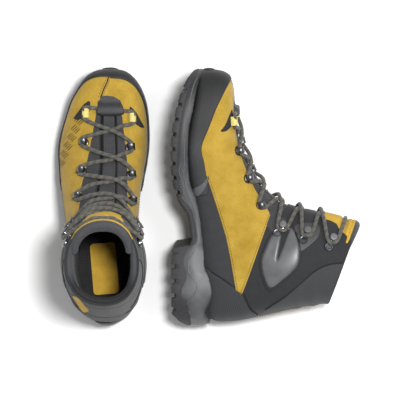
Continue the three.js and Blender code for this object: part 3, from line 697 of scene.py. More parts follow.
def make_weave(name, colour, deep, pitch, roughness=0.85, turn=0.0, bump=0.6):
    """A woven cloth: two sets of threads at an angle, at a pitch in millimetres."""
    paint = Paint(name, roughness, specular=0.3, sheen=0.1)
    warp, weft = (paint.waves(WAVE_SCALE / pitch, axis, turn) for axis in "XY")
    threads = paint.math("MULTIPLY", warp, weft)
    cloud = paint.math("MULTIPLY", paint.noise(0.12, 4), 0.5)
    fuzz = paint.math("ADD", cloud, paint.math("MULTIPLY", threads, 0.5))
    tone = paint.colours(fuzz, (0.15, srgb(*deep)), (0.62, srgb(*colour)))
    # Mixed towards near black by the darkening attribute: painted shade in hollows and down inside the shaft,
    # elsewhere a darker colour of the part.
    paint.base(paint.mix(paint.attribute("darkening_and_painted_shade"), tone, srgb(12, 12, 13)))
    paint.bump(threads, bump, 0.0005)


def make_ribbed(name, colour, deep, pitch, turn):
    """A ribbed cloth with one set of lines."""
    paint = Paint(name, 0.8, specular=0.3, sheen=0.1)
    ribs = paint.waves(WAVE_SCALE / pitch, "X", turn, 0.6)
    fine = paint.waves(WAVE_SCALE * 2.6 / pitch, "Y", turn + 0.5)
    both_ways = paint.math("ADD", paint.math("MULTIPLY", ribs, 0.7), paint.math("MULTIPLY", fine, 0.3))
    tone = paint.colours(both_ways, (0.2, srgb(*deep)), (0.75, srgb(*colour)))
    # Mixed towards near black by the darkening attribute: painted shade in hollows and down inside the shaft,
    # elsewhere a darker colour of the part.
    paint.base(paint.mix(paint.attribute("darkening_and_painted_shade"), tone, srgb(12, 12, 13)))
    paint.bump(both_ways, 0.35, 0.0005)


def make_metal(name, colour, deep, roughness):
    paint = Paint(name, roughness, metallic=1.0)
    paint.base(paint.colours(paint.noise(0.8, 2), (0.3, srgb(*deep)), (0.7, srgb(*colour))))


def make_lace_paint():
    paint = Paint("lace", 0.85, specular=0.25, sheen=0.15)
    fleck = paint.attribute("fleck")
    colour = paint.colours(
        fleck, (0.0, srgb(36, 36, 35)), (0.3, srgb(68, 67, 63)), (0.62, srgb(92, 91, 85)),
        (0.86, srgb(108, 98, 74)), (0.97, srgb(176, 144, 58)),
    )
    paint.base(colour)
    paint.bump(paint.noise(2.4, 2), 0.3, 0.0002)


def make_materials():
    make_suede()
    make_plain("rand_rubber", (48, 49, 51), (40, 41, 43), 0.66, bump=0.12)
    make_plain("sole_rubber", (48, 48, 50), (38, 38, 40), 0.7, bump=0.25)
    make_plain("midsole", (86, 87, 89), (74, 75, 77), 0.5, scale=0.08, bump=0.05)
    make_plain("ridge", (92, 93, 95), (76, 77, 79), 0.45, bump=0.0)
    make_plain("plate", (86, 87, 89), (74, 75, 77), 0.4, specular=0.6, scale=0.05, bump=0.08)
    make_plain("plate_border", (62, 62, 64), (52, 52, 54), 0.6)
    make_plain("black_tape", (32, 32, 33), (22, 22, 23), 0.8)
    make_plain("black_cord", (22, 22, 23), (14, 14, 15), 0.9)
    make_plain("cap_grey", (112, 112, 114), (94, 94, 96), 0.45, metallic=0.5)
    make_plain("ink", (46, 38, 22), (36, 30, 20), 0.9, bump=0.0)
    make_plain("board", (150, 132, 98), (128, 110, 78), 0.9)
    make_plain("thread", (104, 92, 66), (84, 74, 54), 0.8, bump=0.0)
    make_plain("yellow_webbing", (196, 160, 54), (170, 134, 36), 0.85, scale=0.6, bump=0.3)
    make_plain("yellow_patch", (196, 156, 46), (182, 142, 38), 0.8, scale=0.1, bump=0.2)
    make_weave("side_textile", (55, 56, 58), (45, 45, 47), 1.1, bump=0.25)
    make_weave("cuff_textile", (46, 47, 49), (36, 36, 38), 1.0, turn=0.6, bump=0.25)
    make_weave("tongue_textile", (66, 66, 68), (46, 46, 48), 1.3, bump=0.35)
    make_weave("lining_mesh", (62, 61, 60), (34, 34, 35), 2.0)
    make_weave("felt", (46, 46, 47), (26, 26, 27), 1.8)
    make_weave("padding", (68, 69, 71), (56, 57, 59), 1.2, roughness=0.75, bump=0.2)
    make_ribbed("heel_mesh", (58, 59, 61), (42, 42, 44), 1.4, 0.9)
    make_ribbed("back_mesh", (62, 63, 65), (46, 46, 48), 1.4, 0.35)
    make_plain("pale_webbing", (214, 200, 122), (196, 180, 100), 0.85, scale=0.6, bump=0.3)
    make_metal("steel", (150, 151, 155), (112, 113, 118), 0.26)
    make_metal("dark_steel", (112, 113, 117), (78, 79, 83), 0.34)
    make_lace_paint()


make_materials()

# ---------------------------------------------------------------- where the boots are
LEFT_AT = np.array([-119.8, -150.6, 0.0])
RIGHT_AT = np.array([-40.5, -149.4, 34.1])
RIGHT_PITCH, RIGHT_ROLL = math.radians(6.36), math.radians(-3.25)
RIGHT_TURN = np.array(Matrix.Rotation(RIGHT_PITCH, 3, "X") @ Matrix.Rotation(RIGHT_ROLL, 3, "Y"))


def carry(points, side):
    """Points of one boot, in millimetres, to where that boot is, in metres."""
    if side == "left":
        return (points + LEFT_AT) * MM
    return (points[:, ::-1] @ RIGHT_TURN.T + RIGHT_AT) * MM


# The upper bends along this direction between the foot and the cuff.
FLEX_NORMAL = np.array([0.0, -0.3, 0.954])
FLEX_CENTRE = np.array([0.0, 78.0, 112.0])
FLEX_SPAN = (50.0, 84.0)


def flex_points(side):
    """Where the bend of the upper starts and ends."""
    middle = FLEX_CENTRE @ FLEX_NORMAL
    ends = [FLEX_CENTRE + FLEX_NORMAL * (edge - middle) for edge in FLEX_SPAN]
    return [tuple(p) for p in carry(np.array(ends), side)]


PIECES = []


def piece(name, body, material, ride, replaces=(), slot=None, sharp=38, attributes=None, padded=None):
    """Notes one piece of a boot. ride is foot, cuff, or flex for what bends between them."""
    PIECES.append({
        "name": name, "points": body[0], "faces": body[1], "places": body[2] if len(body) > 2 else None,
        "material": material, "ride": ride, "replaces": replaces, "slot": slot, "sharp": sharp,
        "attributes": attributes or {}, "padded": padded,
    })


CLOTH_MM = (46, 15)  # about how many millimetres of cloth one radian of turn and one section are


def weave_places(item):
    """Where each corner lies on the cloth, which the threads of a weave follow."""
    if item["places"] is not None and item["places"].shape[1] == 2:
        at, turn = item["places"].T
        return np.stack([turn * CLOTH_MM[0], at * CLOTH_MM[1], np.zeros(len(at))], 1)
    points = item["points"]
    return np.stack([points[:, 0] + points[:, 2] * 0.7, points[:, 1], points[:, 2]], 1)


def set_attribute(mesh, name, values):
    kind = "FLOAT_VECTOR" if values.ndim == 2 else "FLOAT"
    made = mesh.attributes.new(name, kind, "POINT")
    made.data.foreach_set("vector" if values.ndim == 2 else "value", values.astype(np.float32).ravel())


def build(item, side):
    """Makes a noted piece for one boot, hangs it under its foot or cuff empty unless it is a flex piece, and
    hides the model parts that it replaces.
    """
    faces = item["faces"] if side == "left" else item["faces"][:, ::-1]
    mesh = bpy.data.meshes.new(f"{side}_{item['name']}")
    mesh.from_pydata(carry(item["points"], side).tolist(), [], faces.tolist())
    mesh.validate()
    mesh.shade_smooth()
    mesh.set_sharp_from_angle(angle=math.radians(item["sharp"]))
    set_attribute(mesh, "boot_place", item["points"])
    set_attribute(mesh, "weave", weave_places(item))
    # The darkening attribute is 0 unless a piece gives it. Where given, it holds painted shade or a darker
    # colour.
    attributes = {"darkening_and_painted_shade": np.zeros(len(item["points"]))} | item["attributes"]
    for name, values in attributes.items():
        set_attribute(mesh, name, values)
    mesh.materials.append(SHADE[item["material"]])
    made = bpy.data.objects.new(mesh.name, mesh)
    bpy.context.scene.collection.objects.link(made)
    if item["ride"] == "flex":
        start, end = flex_points(side)
        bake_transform(made)
        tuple(start)
        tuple(end)
    else:
        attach(made, f"{side}_{item['ride']}")
    if item["replaces"]:
        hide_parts(*[f"{side}_{node}" for node in item["replaces"]])


# ---------------------------------------------------------------- the sole
OUTLINE = smooth_line(SOLE_OUTLINE, closed=True, each=10)
ground = height_line(GROUND)
outsole_top = height_line([tuple(p) for p in smooth_line(OUTSOLE_TOP)])
midsole_top = height_line([tuple(p) for p in smooth_line(MIDSOLE_TOP)])
sole_line = height_line([(s[2], s[3]) for s in SECTIONS if s[3] < 40] + [(-5, 40)])
LUG = {"pitch": 17.0, "gap": 5.5, "depth": 5.0}
FOREFOOT_LUGS = (158.0, 292.0)
HEEL_LUGS = (20.0, 90.0)
EDGE_BLOCK = 21.0  # how far the blocks along the edge reach in


def plan_sheet(outline, cell=1.5):
    """Places (x, y) inside an outline seen from above, and their triangles."""
    low, high = outline.min(0) - cell, outline.max(0) + cell
    xs = np.arange(low[0], high[0] + cell, cell)
    ys = np.arange(low[1], high[1] + cell, cell)
    places = np.stack(np.meshgrid(ys, xs, indexing="ij"), -1).reshape(-1, 2)[:, ::-1]
    faces = grid_faces(len(ys), len(xs))
    return split(places, faces[:, ::-1], inside(places, outline), keep_all=False)


def step_up(value, width=1.1):
    """A smooth step from 0 to 1 as the value passes 0."""
    share = np.clip(value / width + 0.5, 0, 1)
    return share * share * (3 - 2 * share)


def band(value, pitch, gap):
    """1 in a groove of a repeating pattern, and 0 on the blocks between the grooves."""
    place = np.mod(value, pitch)
    return step_up(np.minimum(place, gap - place), 1.4)


def tread(places):
    """How deep the grooves of the outsole are, from 0 to 1."""
    x, y = places.T
    depth_in = inside(places, OUTLINE)
    middle = np.interp(y, [0, 120, 220, 300], [0, -2, -2, 6])
    edge_notch = step_up(EDGE_BLOCK - depth_in) * band(y - FOREFOOT_LUGS[0], LUG["pitch"], LUG["gap"])
    ring = step_up(2.2 - np.abs(depth_in - EDGE_BLOCK - 1.5))
    chevron = y + 0.45 * np.abs(x - middle) - FOREFOOT_LUGS[0] - 8
    centre = step_up(depth_in - EDGE_BLOCK) * band(chevron, LUG["pitch"], LUG["gap"])
    forefoot = step_up(y - FOREFOOT_LUGS[0]) * step_up(FOREFOOT_LUGS[1] - y)
    fore = forefoot * np.max([edge_notch, ring * 0.8, centre], axis=0)
    heel_notch = step_up(EDGE_BLOCK - 4 - depth_in) * band(y - HEEL_LUGS[0], LUG["pitch"], LUG["gap"])
    hollow = step_up(depth_in - EDGE_BLOCK + 4, 2)
    heel_zone = step_up(y - HEEL_LUGS[0]) * step_up(HEEL_LUGS[1] - y)
    return np.maximum(fore, heel_zone * np.maximum(heel_notch, hollow * 0.9))


def sole_body(sheet, bottom, top, bulge, rows=9):
    """A body between two heights over a plan. bulge pushes its walls out, by share of height."""
    places, faces = sheet
    rim = rim_edges(faces)
    edge = np.unique(rim)
    order = {int(v): k for k, v in enumerate(edge)}
    border = places[edge]
    steps = 0.4 * np.eye(2)
    slopes = [inside(border + step, OUTLINE) - inside(border - step, OUTLINE) for step in steps]
    outward = -unit(np.stack(slopes, 1))
    low, high = bottom(places), top(places)
    walls = []
    for share in np.linspace(0, 1, rows):
        flat = border + outward * bulge(border, share)[:, None]
        walls.append(np.column_stack([flat, low[edge] + (high[edge] - low[edge]) * share]))
    base = np.column_stack([places, low])
    lid = np.column_stack([places, high])
    base[edge] = walls[0]
    lid[edge] = walls[-1]
    points = np.vstack([base, lid, *walls])
    start = 2 * len(places)
    made = [faces, faces[:, ::-1] + len(places)]
    a = np.array([order[int(v)] for v in rim[:, 0]])
    b = np.array([order[int(v)] for v in rim[:, 1]])
    for r in range(rows - 1):
        here, there = start + r * len(edge), start + (r + 1) * len(edge)
        made.append(np.stack([b + here, a + here, a + there], 1))
        made.append(np.stack([b + here, a + there, b + there], 1))
    return merge(points, np.vstack(made))


def foam_wall(y, share):
    """How far the wall of the midsole stands from the outline of the sole, at a share of its height."""
    swell = np.interp(y, [0, 30, 60, 100, 160, 200, 302], [2.4, 3.4, 1.6, 3.0, 2.2, 0.8, 0.4])
    return swell * (np.sin(math.pi * share) * (1 - 0.6 * share) - 0.75) - 1.6 * share ** 3


def wall_point(y, z, sign, proud):
    """A point of the sole's wall at a side-view place, on the medial (1) or the lateral (-1) side."""
    widest = {}
    for px, py in OUTLINE[OUTLINE[:, 0] * sign > -8]:
        key = round(py, 1)
        widest[key] = max(widest.get(key, -99), px * sign)
    ys = np.array(sorted(widest))
    xs = np.array([widest[key] for key in ys])
    return np.stack([sign * (np.interp(y, ys, xs) + proud), y, z], 1)


BEAD = {"radius": 0.75, "spacing": 1.6}


def bead(yz, sign):
    """A rounded ridge along a side-view line on the wall of the sole."""
    y, z = evenly(smooth_line(yz), BEAD["spacing"]).T
    share = np.clip((z - outsole_top(y)) / (midsole_top(y) - outsole_top(y)), 0, 1)
    path = wall_point(y, z, sign, foam_wall(y, share))
    from_end = np.minimum(np.arange(len(path)), np.arange(len(path))[::-1])
    return sweep(path, BEAD["radius"] * np.clip(from_end / 4, 0.25, 1), sides=8)


# Lines that stand out on the side of the sole, as (y, z).
ARCH_LINES = [
    [(196, 12), (186, 9.5), (178, 12), (170, 10.5), (161, 14.5), (155, 13), (147, 19)],
    [(192, 17), (182, 14.5), (172, 16.5), (163, 17.5), (154, 21), (142, 26), (126, 29.5)],
    [(186, 20), (172, 19.5), (158, 24.5), (140, 30.5), (118, 33.5)],
]
HEEL_LINE = [
    (101, 30), (91, 26.5), (80, 20), (68, 20.5), (58, 27), (50, 30), (40, 25.5), (31, 18.5), (22, 19),
    (12, 26),
]
FOREFOOT_LINE = [(296, 31.5), (286, 26.5), (268, 22), (245, 18.4), (222, 16.4), (202, 15.8), (188, 16.5)]


def make_sole():
    sheet = plan_sheet(OUTLINE)

    def underside(places):
        return ground(places[:, 1]) + LUG["depth"] * tread(places)

    def split_line(places):
        return np.maximum(outsole_top(places[:, 1]), underside(places) + 0.8)

    def foam_top(places):
        deep = inside(places, OUTLINE)
        hidden = sole_line(places[:, 1]) + 1.0
        share = step_up(deep - 6.5, 6)
        seen = midsole_top(places[:, 1])
        return seen * (1 - share) + np.minimum(seen, hidden) * share

    def rubber_bulge(border, share):
        return np.full(len(border), 0.5 * math.sin(math.pi * share) - 0.5 - 0.6 * (1 - share) ** 3)

    def foam_bulge(border, share):
        return foam_wall(border[:, 1], share)

    piece("outsole", sole_body(sheet, underside, split_line, rubber_bulge), "sole_rubber", "foot",
          ["outsole"], "sole_rubber")
    foam = sole_body(sheet, split_line, foam_top, foam_bulge, rows=12)
    darker = 0.85 * step_up(foam[0][:, 1] - 190, 45)
    piece("midsole", foam, "midsole", "foot", ["midsole"], "midsole_foam", attributes={"darkening_and_painted_shade": darker})
    ridges = [*ARCH_LINES, HEEL_LINE, smooth_line(FOREFOOT_LINE)]
    lines = [bead(line, sign) for sign in (1, -1) for line in ridges]
    piece("sole_ridges", together(*lines), "ridge", "foot", slot="midsole_foam")
    ribs = [rib for sign in (1, -1) for rib in side_ribs(sign)]
    piece("sole_ribs", together(*ribs), "sole_rubber", "foot", slot="sole_rubber")


RIB_SPAN, RIB_PITCH = (166, 290), 2.8


def side_ribs(sign):
    """Small upright ribs along the side of the forefoot."""
    ribs = []
    for y in np.arange(*RIB_SPAN, RIB_PITCH):
        low, high = float(ground(y)) + 5.5, float(outsole_top(y)) + 5.5
        heights = np.linspace(low, high, 5)
        path = wall_point(np.full(5, y) + (heights - low) * 0.12, heights, sign, -0.75)
        ribs.append(sweep(path, [0.3, 0.65, 0.75, 0.65, 0.3], sides=6))
    return ribs


# ---------------------------------------------------------------- the panels of the upper
OUTSIDE = skin_sheet(-1, LAST)
FAR = 400  # beyond everything
LATERAL_DROP = 6.5  # how much lower the rand ends beside the toe on the lateral side
# The seam over the toe seen from above, as (y, x).
TOE_SEAM = [(-40, 6), (240, 6), (268, -4.5), (276, -1.5), (285, 2.5), (296, 5.7), (310, 8)]


RAND_FLASH = [(156, 24), (157, 33), (166, 40), (177, 44), (181, 42.5), (172, 36), (165, 26)]


def beside_toe_seam(sign, gap):
    """How far a place lies from the seam over the toe: 1 for its medial side, -1 for its lateral side."""
    line = np.array(TOE_SEAM, float)

    def field(places):
        points = points_at(places)
        return sign * (points[:, 0] - np.interp(points[:, 1], line[:, 0], line[:, 1])) * 0.94 - gap

    return field


def make_upper():
    def rand_side(drop):
        edge_line = smooth_line(RAND_EDGE)
        edge_line[:, 1] -= drop * np.interp(edge_line[:, 0], [215, 235, 280, 296], [0, 1, 1, 0])
        return side_view([*edge_line, (155, 20), (155, -40), (FAR, -40), (FAR, 76)])

    def rand_zone(places):
        return np.where(np.sin(places[:, 1]) > 0, rand_side(0)(places), rand_side(LATERAL_DROP)(places))

    edge, upper_edge = smooth_line(QUARTER_EDGE), smooth_line(QUARTER_TOP)
    quarter_zone = [(FAR, -40), (180, -40), (180, 38), *edge, QUARTER_TIP, *upper_edge, (FAR, 260)]
    over_edge = [(y, z + 7) for y, z in edge[::-1]]
    side_zone = [(62, -40), (75, 34), *smooth_line(HEEL_SEAM), *over_edge, (190, 40), (190, -40)]
    behind_seam = [(y - 0.8, z) for y, z in smooth_line(HEEL_SEAM)]
    heel_zone = [(61.5, -40), *behind_seam, (47, 77), (42, 83.5), *smooth_line(CUFF_SEAM)[1:], (-60, 100),
                 (-60, -40)]
    rand = panel(OUTSIDE, rand_zone, 0.1, 2.1, edge=1.8)
    # The rand is darker towards the toe.
    piece("rand", rand, "rand_rubber", "foot", ["rand"], "rand_rubber",
          attributes={"darkening_and_painted_shade": 0.75 * step_up(rand[0][:, 1] - 225, 30)})
    quarter = both(side_view(quarter_zone), opening_field())
    for side, sign in (("medial", 1), ("lateral", -1)):
        half = both(quarter, beside_toe_seam(sign, 0.45))
        piece(f"quarter_{side}", panel(OUTSIDE, half, -1.6, 0.45, edge=1.1), "suede", "flex",
              [f"quarter_{side}"], "suede")
    tape = both(lambda places: 4 - np.abs(beside_toe_seam(1, 0)(places)), opening_field(-6),
                lambda places: points_at(places)[:, 2] - 50)
    piece("toe_tape", panel(skin_sheet(-0.2, 5, 1.2), tape, -1.9, -0.8, edge=0.6), "black_cord", "foot",
          slot="suede")
    piece("side_panel", panel(OUTSIDE, side_view(side_zone), -1.9, -0.6, edge=0.8), "side_textile", "flex",
          ["rear_panel"], "textile")
    piece("heel_panel", panel(OUTSIDE, side_view(heel_zone), -1.9, 0.1, edge=0.9), "heel_mesh", "flex",
          slot="textile")
    flash = side_view(smooth_line(RAND_FLASH, closed=True, each=4))
    piece("rand_flash", panel(OUTSIDE, flash, -0.4, 2.7, edge=1.4), "plate", "foot", slot="rand_rubber")


def make_cuff():
    over_quarter = [(y, z - 5) for y, z in smooth_line(QUARTER_TOP)]
    over_seam = [(y, z + 0.8) for y, z in smooth_line(CUFF_SEAM)[::-1]]
    over = [(42, 78), *over_quarter, (FAR, 180), (FAR, FAR), (-80, FAR), (-80, 100.5), *over_seam]
    back = side_view([*smooth_line(BACK_SEAM), (80, FAR), (-80, FAR), (-80, 99), (16, 99)])
    cuff = both(side_view(over), opening_field())
    front_panel = both(cuff, without(back, -1.5))
    front = panel(OUTSIDE, front_panel, -2.0, -0.1, edge=1.2, relief=cuff_relief)
    piece("cuff", front, "cuff_textile", "flex", ["cuff"], "cuff_textile")
    behind = panel(OUTSIDE, both(back, side_view(over)), -2.0, 0.25, edge=1.6, relief=back_relief)
    piece("cuff_back", behind, "back_mesh", "flex", slot="cuff_textile")
    seams = [seam(BACK_SEAM[1:-1], sign, 0.1, 0.85) for sign in (1, -1)]
    seams += [seam(CUFF_SEAM[:-2], sign, -0.1, 0.6) for sign in (1, -1)]
    seams += [seam(HEEL_SEAM[1:], sign, -0.2, 0.7) for sign in (1, -1)]
    piece("seam_piping", together(*seams), "black_cord", "flex", slot="cuff_textile")
    threads = [stitches([(y + 0.4, z - 2.2) for y, z in QUARTER_TOP[:4]], sign, 0.55) for sign in (1, -1)]
    lower = [(y + 1.2, z + 2.4) for y, z in QUARTER_EDGE]
    threads += [stitches(lower, sign, 0.55) for sign in (1, -1)]
    beside = [[(x + shift, y) for y, x in TOE_SEAM[2:6]] for shift in (-2.3, 2.3)]
    threads += [stitches(line, 0, 0.55) for line in beside]
    piece("stitching", together(*threads), "thread", "flex", slot="suede")
    rim_turns = np.linspace(0.93, 2 * math.pi - 0.93, 120)
    rim = layer(np.full(120, float(LAST)), rim_turns, np.full(120, -1.0))
    piece("rim_binding", sweep(rim, 1.3, sides=10), "cuff_textile", "cuff", slot="cuff_textile")


def cuff_relief(places):
    """Soft padding lines of the cuff."""
    points = points_at(places)
    height = points @ FLEX_NORMAL
    return 0.5 * np.sin(height / 9.0) * np.clip((height - 90) / 20, 0, 1)


def back_relief(places):
    """Flex folds across the back of the cuff."""
    points = points_at(places)
    behind = np.clip((-np.cos(places[:, 1]) - 0.1) / 0.6, 0, 1)
    height = points[:, 2] - 140
    return behind * 0.6 * np.sin(height * 2 * math.pi / 19) * np.clip((height + 4) / 8, 0, 1)


PLATE_SLIT = [(117, 129), (117, 136.5), (84, 123.5)]
HOOK_PATCH = [(121, 142), (125, 156), (122, 171), (110, 170.5), (98, 158), (93.5, 149), (104, 142.5)]


def make_plates():
    outline = smooth_line(ANKLE_PLATE, closed=True, each=6)
    centre = outline.mean(0)

    def crown(places):
        point = points_at(places)[:, 1:]
        return 0.9 * step_up(9 - np.linalg.norm(point - centre, axis=1) / 2.4, 6)

    for side, sign in (("medial", 1), ("lateral", -1)):
        here = only_side(sign)
        slit = side_view(PLATE_SLIT)
        leaf = both(side_view(outline), here, without(slit, 0.2))
        piece(f"ankle_plate_{side}", panel(OUTSIDE, leaf, 0.0, 2.0, edge=3.0, relief=crown), "plate", "cuff",
              [f"ankle_plate_{side}"], "plate_rubber")
        wide = centre + (outline - centre) * 1.13
        border = both(side_view(wide), here)
        trim = panel(OUTSIDE, border, -0.6, 0.8, edge=1.4)
        piece(f"plate_border_{side}", trim, "black_tape", "cuff", slot="plate_rubber")
        patch = both(side_view(smooth_line(HOOK_PATCH, closed=True, each=6)), here)
        pad = panel(OUTSIDE, patch, -0.4, 0.8, edge=1.2)
        piece(f"hook_patch_{side}", pad, "plate_border", "cuff", slot="plate_rubber")


# ---------------------------------------------------------------- tongue, collar and lining
TONGUE_CAP = [
    (-7, 262), (-6.5, 268.5), (0, 270.5), (10, 269.5), (17.5, 265), (21, 257), (20.5, 246), (-8.5, 246),
]


def tongue_grooves(places):
    """1 in the two lengthwise grooves of the tongue."""
    at, turn = places.T
    row = sections_at(np.clip(at, 0, LAST))
    offset = np.abs(np.sin(turn) * (row[..., 5] - row[..., 6]) / 2 + 1.2)
    wide = np.interp(at, [5, 8, 10], [7.6, 8.6, 11.5])
    return (1 - step_up(np.abs(offset - wide) - 1.5, 1.2)) * step_up(11.2 - at, 1.0)


HORN = 1.27  # where the padded top of the tongue ends, as a turn
BASE_OUT, TONGUE_OUT = -1.9, -2.4  # outer faces of the tongue's base and of the tongue
BASE_SWELL, TONGUE_SWELL = 2.3, 4.4  # how far they swell between the strands of the lace


def horn_share(places):
    """From 0 at the front of the boot to 1 at the ends of the tongue's padded top."""
    return np.clip(np.abs(places[:, 1]) / HORN, 0, 1)


def under_lace(places, out, swell):
    """How far the soft tongue swells between the strands of the lace, which press it down."""
    at, turn = places.T
    points = layer(at, turn, out)
    tree = KDTree(len(LACE_LINE))
    for k, point in enumerate(LACE_LINE):
        tree.insert(point, k)
    tree.balance()
    gap = np.array([tree.find(point)[2] for point in points])
    return swell * step_up(gap - LACE / 2 - 3.2, 5.0)


def make_tongue():
    strip = skin_sheet(3.4, 12.6, turn=1.3, rows_each=9, columns=110)
    low_strip = without(opening_field(6))
    base_zone = both(low_strip, lambda places: (places[:, 0] - 3.6) * 15)

    def base_relief(places):
        groove = tongue_grooves(places)
        return under_lace(places, BASE_OUT, BASE_SWELL) * (1 - groove) - 1.8 * groove

    made = panel(strip, base_zone, -4.4, BASE_OUT, edge=1.4, relief=base_relief)
    # Painted shade: the colour is darkened in the tongue's two lengthwise grooves.
    piece("tongue_base", made, "tongue_textile", "flex", ["tongue_base"], "textile",
          attributes={"darkening_and_painted_shade": tongue_grooves(made[2])})

    def over_bar(places):
        """The cap bulges over the first bar of the lace."""
        from_bar = (places[:, 0] - LOOPS["medial"][0] + TOE_BAR) * SECTION_MM
        return 5.2 * (1 - step_up(np.abs(from_bar) - 5.5, 6.0))

    cap_zone = top_view(smooth_line(TONGUE_CAP, closed=True, each=6))
    cap = panel(strip, cap_zone, -3.0, 0.6, edge=2.2, relief=over_bar)
    piece("tongue_cap", cap, "rand_rubber", "foot", slot="rand_rubber")
    upper = skin_sheet(11.5, LAST, turn=1.28, rows_each=9, columns=110)

    def tongue_swell(places):
        return under_lace(places, TONGUE_OUT, TONGUE_SWELL) * np.cos(places[:, 1]) ** 2

    shape = without(opening_field(9))
    tongue = panel(upper, shape, -9.3, TONGUE_OUT, edge=3.0, fold=0.5, relief=tongue_swell)
    piece("tongue", tongue, "cuff_textile", "flex", ["tongue"], "cuff_textile", padded=0.7)
    top = skin_sheet(LAST - 1.1, LAST + 0.3, turn=1.32, rows_each=24, columns=120)

    def roll_zone(places):
        share = horn_share(places)
        crest = LAST + 0.22 - 0.2 * share ** 2
        below_crest = (crest - places[:, 0]) * SECTION_MM
        above_foot = (places[:, 0] - LAST + 0.55) * SECTION_MM
        return np.min([below_crest, above_foot, (HORN - np.abs(places[:, 1])) * TURN_MM], axis=0)

    def roll_middle(places):
        return -2.6 - 6.6 * horn_share(places) ** 2

    def roll_inner(places):
        return roll_middle(places) - 7.2 + 2.0 * horn_share(places)

    def roll_outer(places):
        return roll_middle(places) + 6.2 - 1.4 * horn_share(places)

    roll = panel(top, roll_zone, roll_inner, roll_outer, edge=6.4, fold=0.5)
    piece("tongue_roll", roll, "padding", "cuff", slot="padding", padded=0.8)
    band_sheet = skin_sheet(15.3, LAST - 0.3, turn=1.2, rows_each=14, columns=110)

    def band_zone(places):
        at, turn = places.T
        reach = 0.42 + 0.43 * np.clip((at - 16.2) / 2.4, 0, 1) ** 1.5
        return np.min([(at - 15.6) * 12, (LAST - 0.5 - at) * 14, (reach - np.abs(turn)) * TURN_MM], axis=0)

    def band_out(places):
        return tongue_swell(places) - 1.5

    band = panel(band_sheet, band_zone, -3.2, band_out, edge=0.9)
    piece("tongue_band", band, "yellow_webbing", "cuff", slot="suede")
    turns = np.linspace(-1.15, 1.15, 70)
    places = np.stack([np.full(len(turns), LAST - 0.43), turns], 1)
    edge = layer(places[:, 0], turns, roll_middle(places) + 4.6 - horn_share(places))
    piece("tongue_piping", sweep(edge, 1.9, sides=10), "yellow_webbing", "cuff", slot="suede")


COLLAR_DEPTH = 27.0
TONGUE_EDGE = 0.74  # the turn where the collar starts beside the tongue
QUILT_DEPTH = 14.0  # how far below the rim the collar's sewn line runs


def below_rim(places):
    """How far a place lies below the plane of the rim."""
    front, back = SECTIONS[LAST, 0:2], SECTIONS[LAST, 2:4]
    points = points_at(places)
    slope = (front[1] - back[1]) / (front[0] - back[0])
    return back[1] + (points[:, 1] - back[0]) * slope - points[:, 2]


def make_collar():
    sheet = skin_sheet(13, LAST + 0.1, rows_each=9)

    def zone(places):
        beside_tongue = (np.abs(places[:, 1]) - TONGUE_EDGE) * TURN_MM
        under_rim = (LAST + 0.08 - places[:, 0]) * 20
        return np.min([beside_tongue, COLLAR_DEPTH - below_rim(places), under_rim], axis=0)

    def side_share(places):
        """1 at the sides of the boot, 0 at the back."""
        return 1 - step_up(np.abs(places[:, 1]) - 2.2, 0.6)

    def quilting(places):
        return -1.2 * (1 - step_up(np.abs(below_rim(places) - QUILT_DEPTH) - 1.2, 1.6))

    def inner_side(places):
        depth = np.clip(below_rim(places) / 12, 0, 1)
        return -4.4 - 4.6 * step_up(np.abs(places[:, 1]) - 1.2, 0.5) - 2.6 * depth * side_share(places)

    made = panel(sheet, zone, inner_side, -1.5, edge=3.4, fold=0.5, relief=quilting)
    # Painted shade: the collar darkens more than 6.5 mm below the rim, down inside the shaft. Towards the
    # back it darkens as well, to the darker colour the collar has there.
    behind = step_up(np.abs(made[2][:, 1]) - 1.95, 0.5)
    painted_shade_and_dark_back = np.maximum(0.8 * behind, 0.6 * step_up(below_rim(made[2]) - 6.5, 2))
    piece("collar", made, "padding", "cuff", ["collar"], "padding", padded=0.7, attributes={"darkening_and_painted_shade": painted_shade_and_dark_back})
    below = both(lambda places: below_rim(places) - 20, lambda places: places[:, 0] + 0.5)
    lining = panel(OUTSIDE, both(below, opening_field(4)), -4.6, -2.3, edge=0.6)
    piece("lining", lining, "lining_mesh", "flex", ["lining"], "lining_mesh")


FOOTBED_TOP = 9.4
PATCH = {"centre": (-1.0, 67.7), "half": (15.2, 30.0), "corner": 4.0, "turn": math.radians(4.8)}


def patch_outline():
    """The rectangle of the patch with round corners, seen from above."""
    turn = np.array(Matrix.Rotation(PATCH["turn"], 2))
    angles = np.arange(32) * math.pi / 16 + math.pi / 64
    corner = np.stack([np.cos(angles), np.sin(angles)], 1)
    flat = np.sign(corner) * (np.array(PATCH["half"]) - PATCH["corner"]) + corner * PATCH["corner"]
    return flat @ turn.T + PATCH["centre"]


def make_footbed():
    inner = evenly(OUTLINE, 3.0, closed=True)
    ahead = unit(np.roll(inner, -1, 0) - np.roll(inner, 1, 0))
    inset = inner + np.stack([-ahead[:, 1], ahead[:, 0]], 1) * 8.0
    sheet = plan_sheet(inset, cell=2.5)

    def bottom(places):
        return sole_line(places[:, 1]) + 1.5

    def top(places):
        cup = 3.0 * np.clip(1 - inside(places, inset) / 9, 0, 1) ** 2
        return sole_line(places[:, 1]) + FOOTBED_TOP + cup

    bed = sole_body(sheet, bottom, top, lambda border, share: np.zeros(len(border)), rows=4)
    piece("footbed", bed, "felt", "foot", ["footbed"], "footbed_felt")
    patch = sole_body(
        plan_sheet(patch_outline(), cell=3.0), lambda places: top(places) - 0.4,
        lambda places: top(places) + 0.5, lambda border, share: np.full(len(border), -0.3 * share), rows=3,
    )
    piece("footbed_patch", patch, "yellow_patch", "foot", slot="footbed_felt")


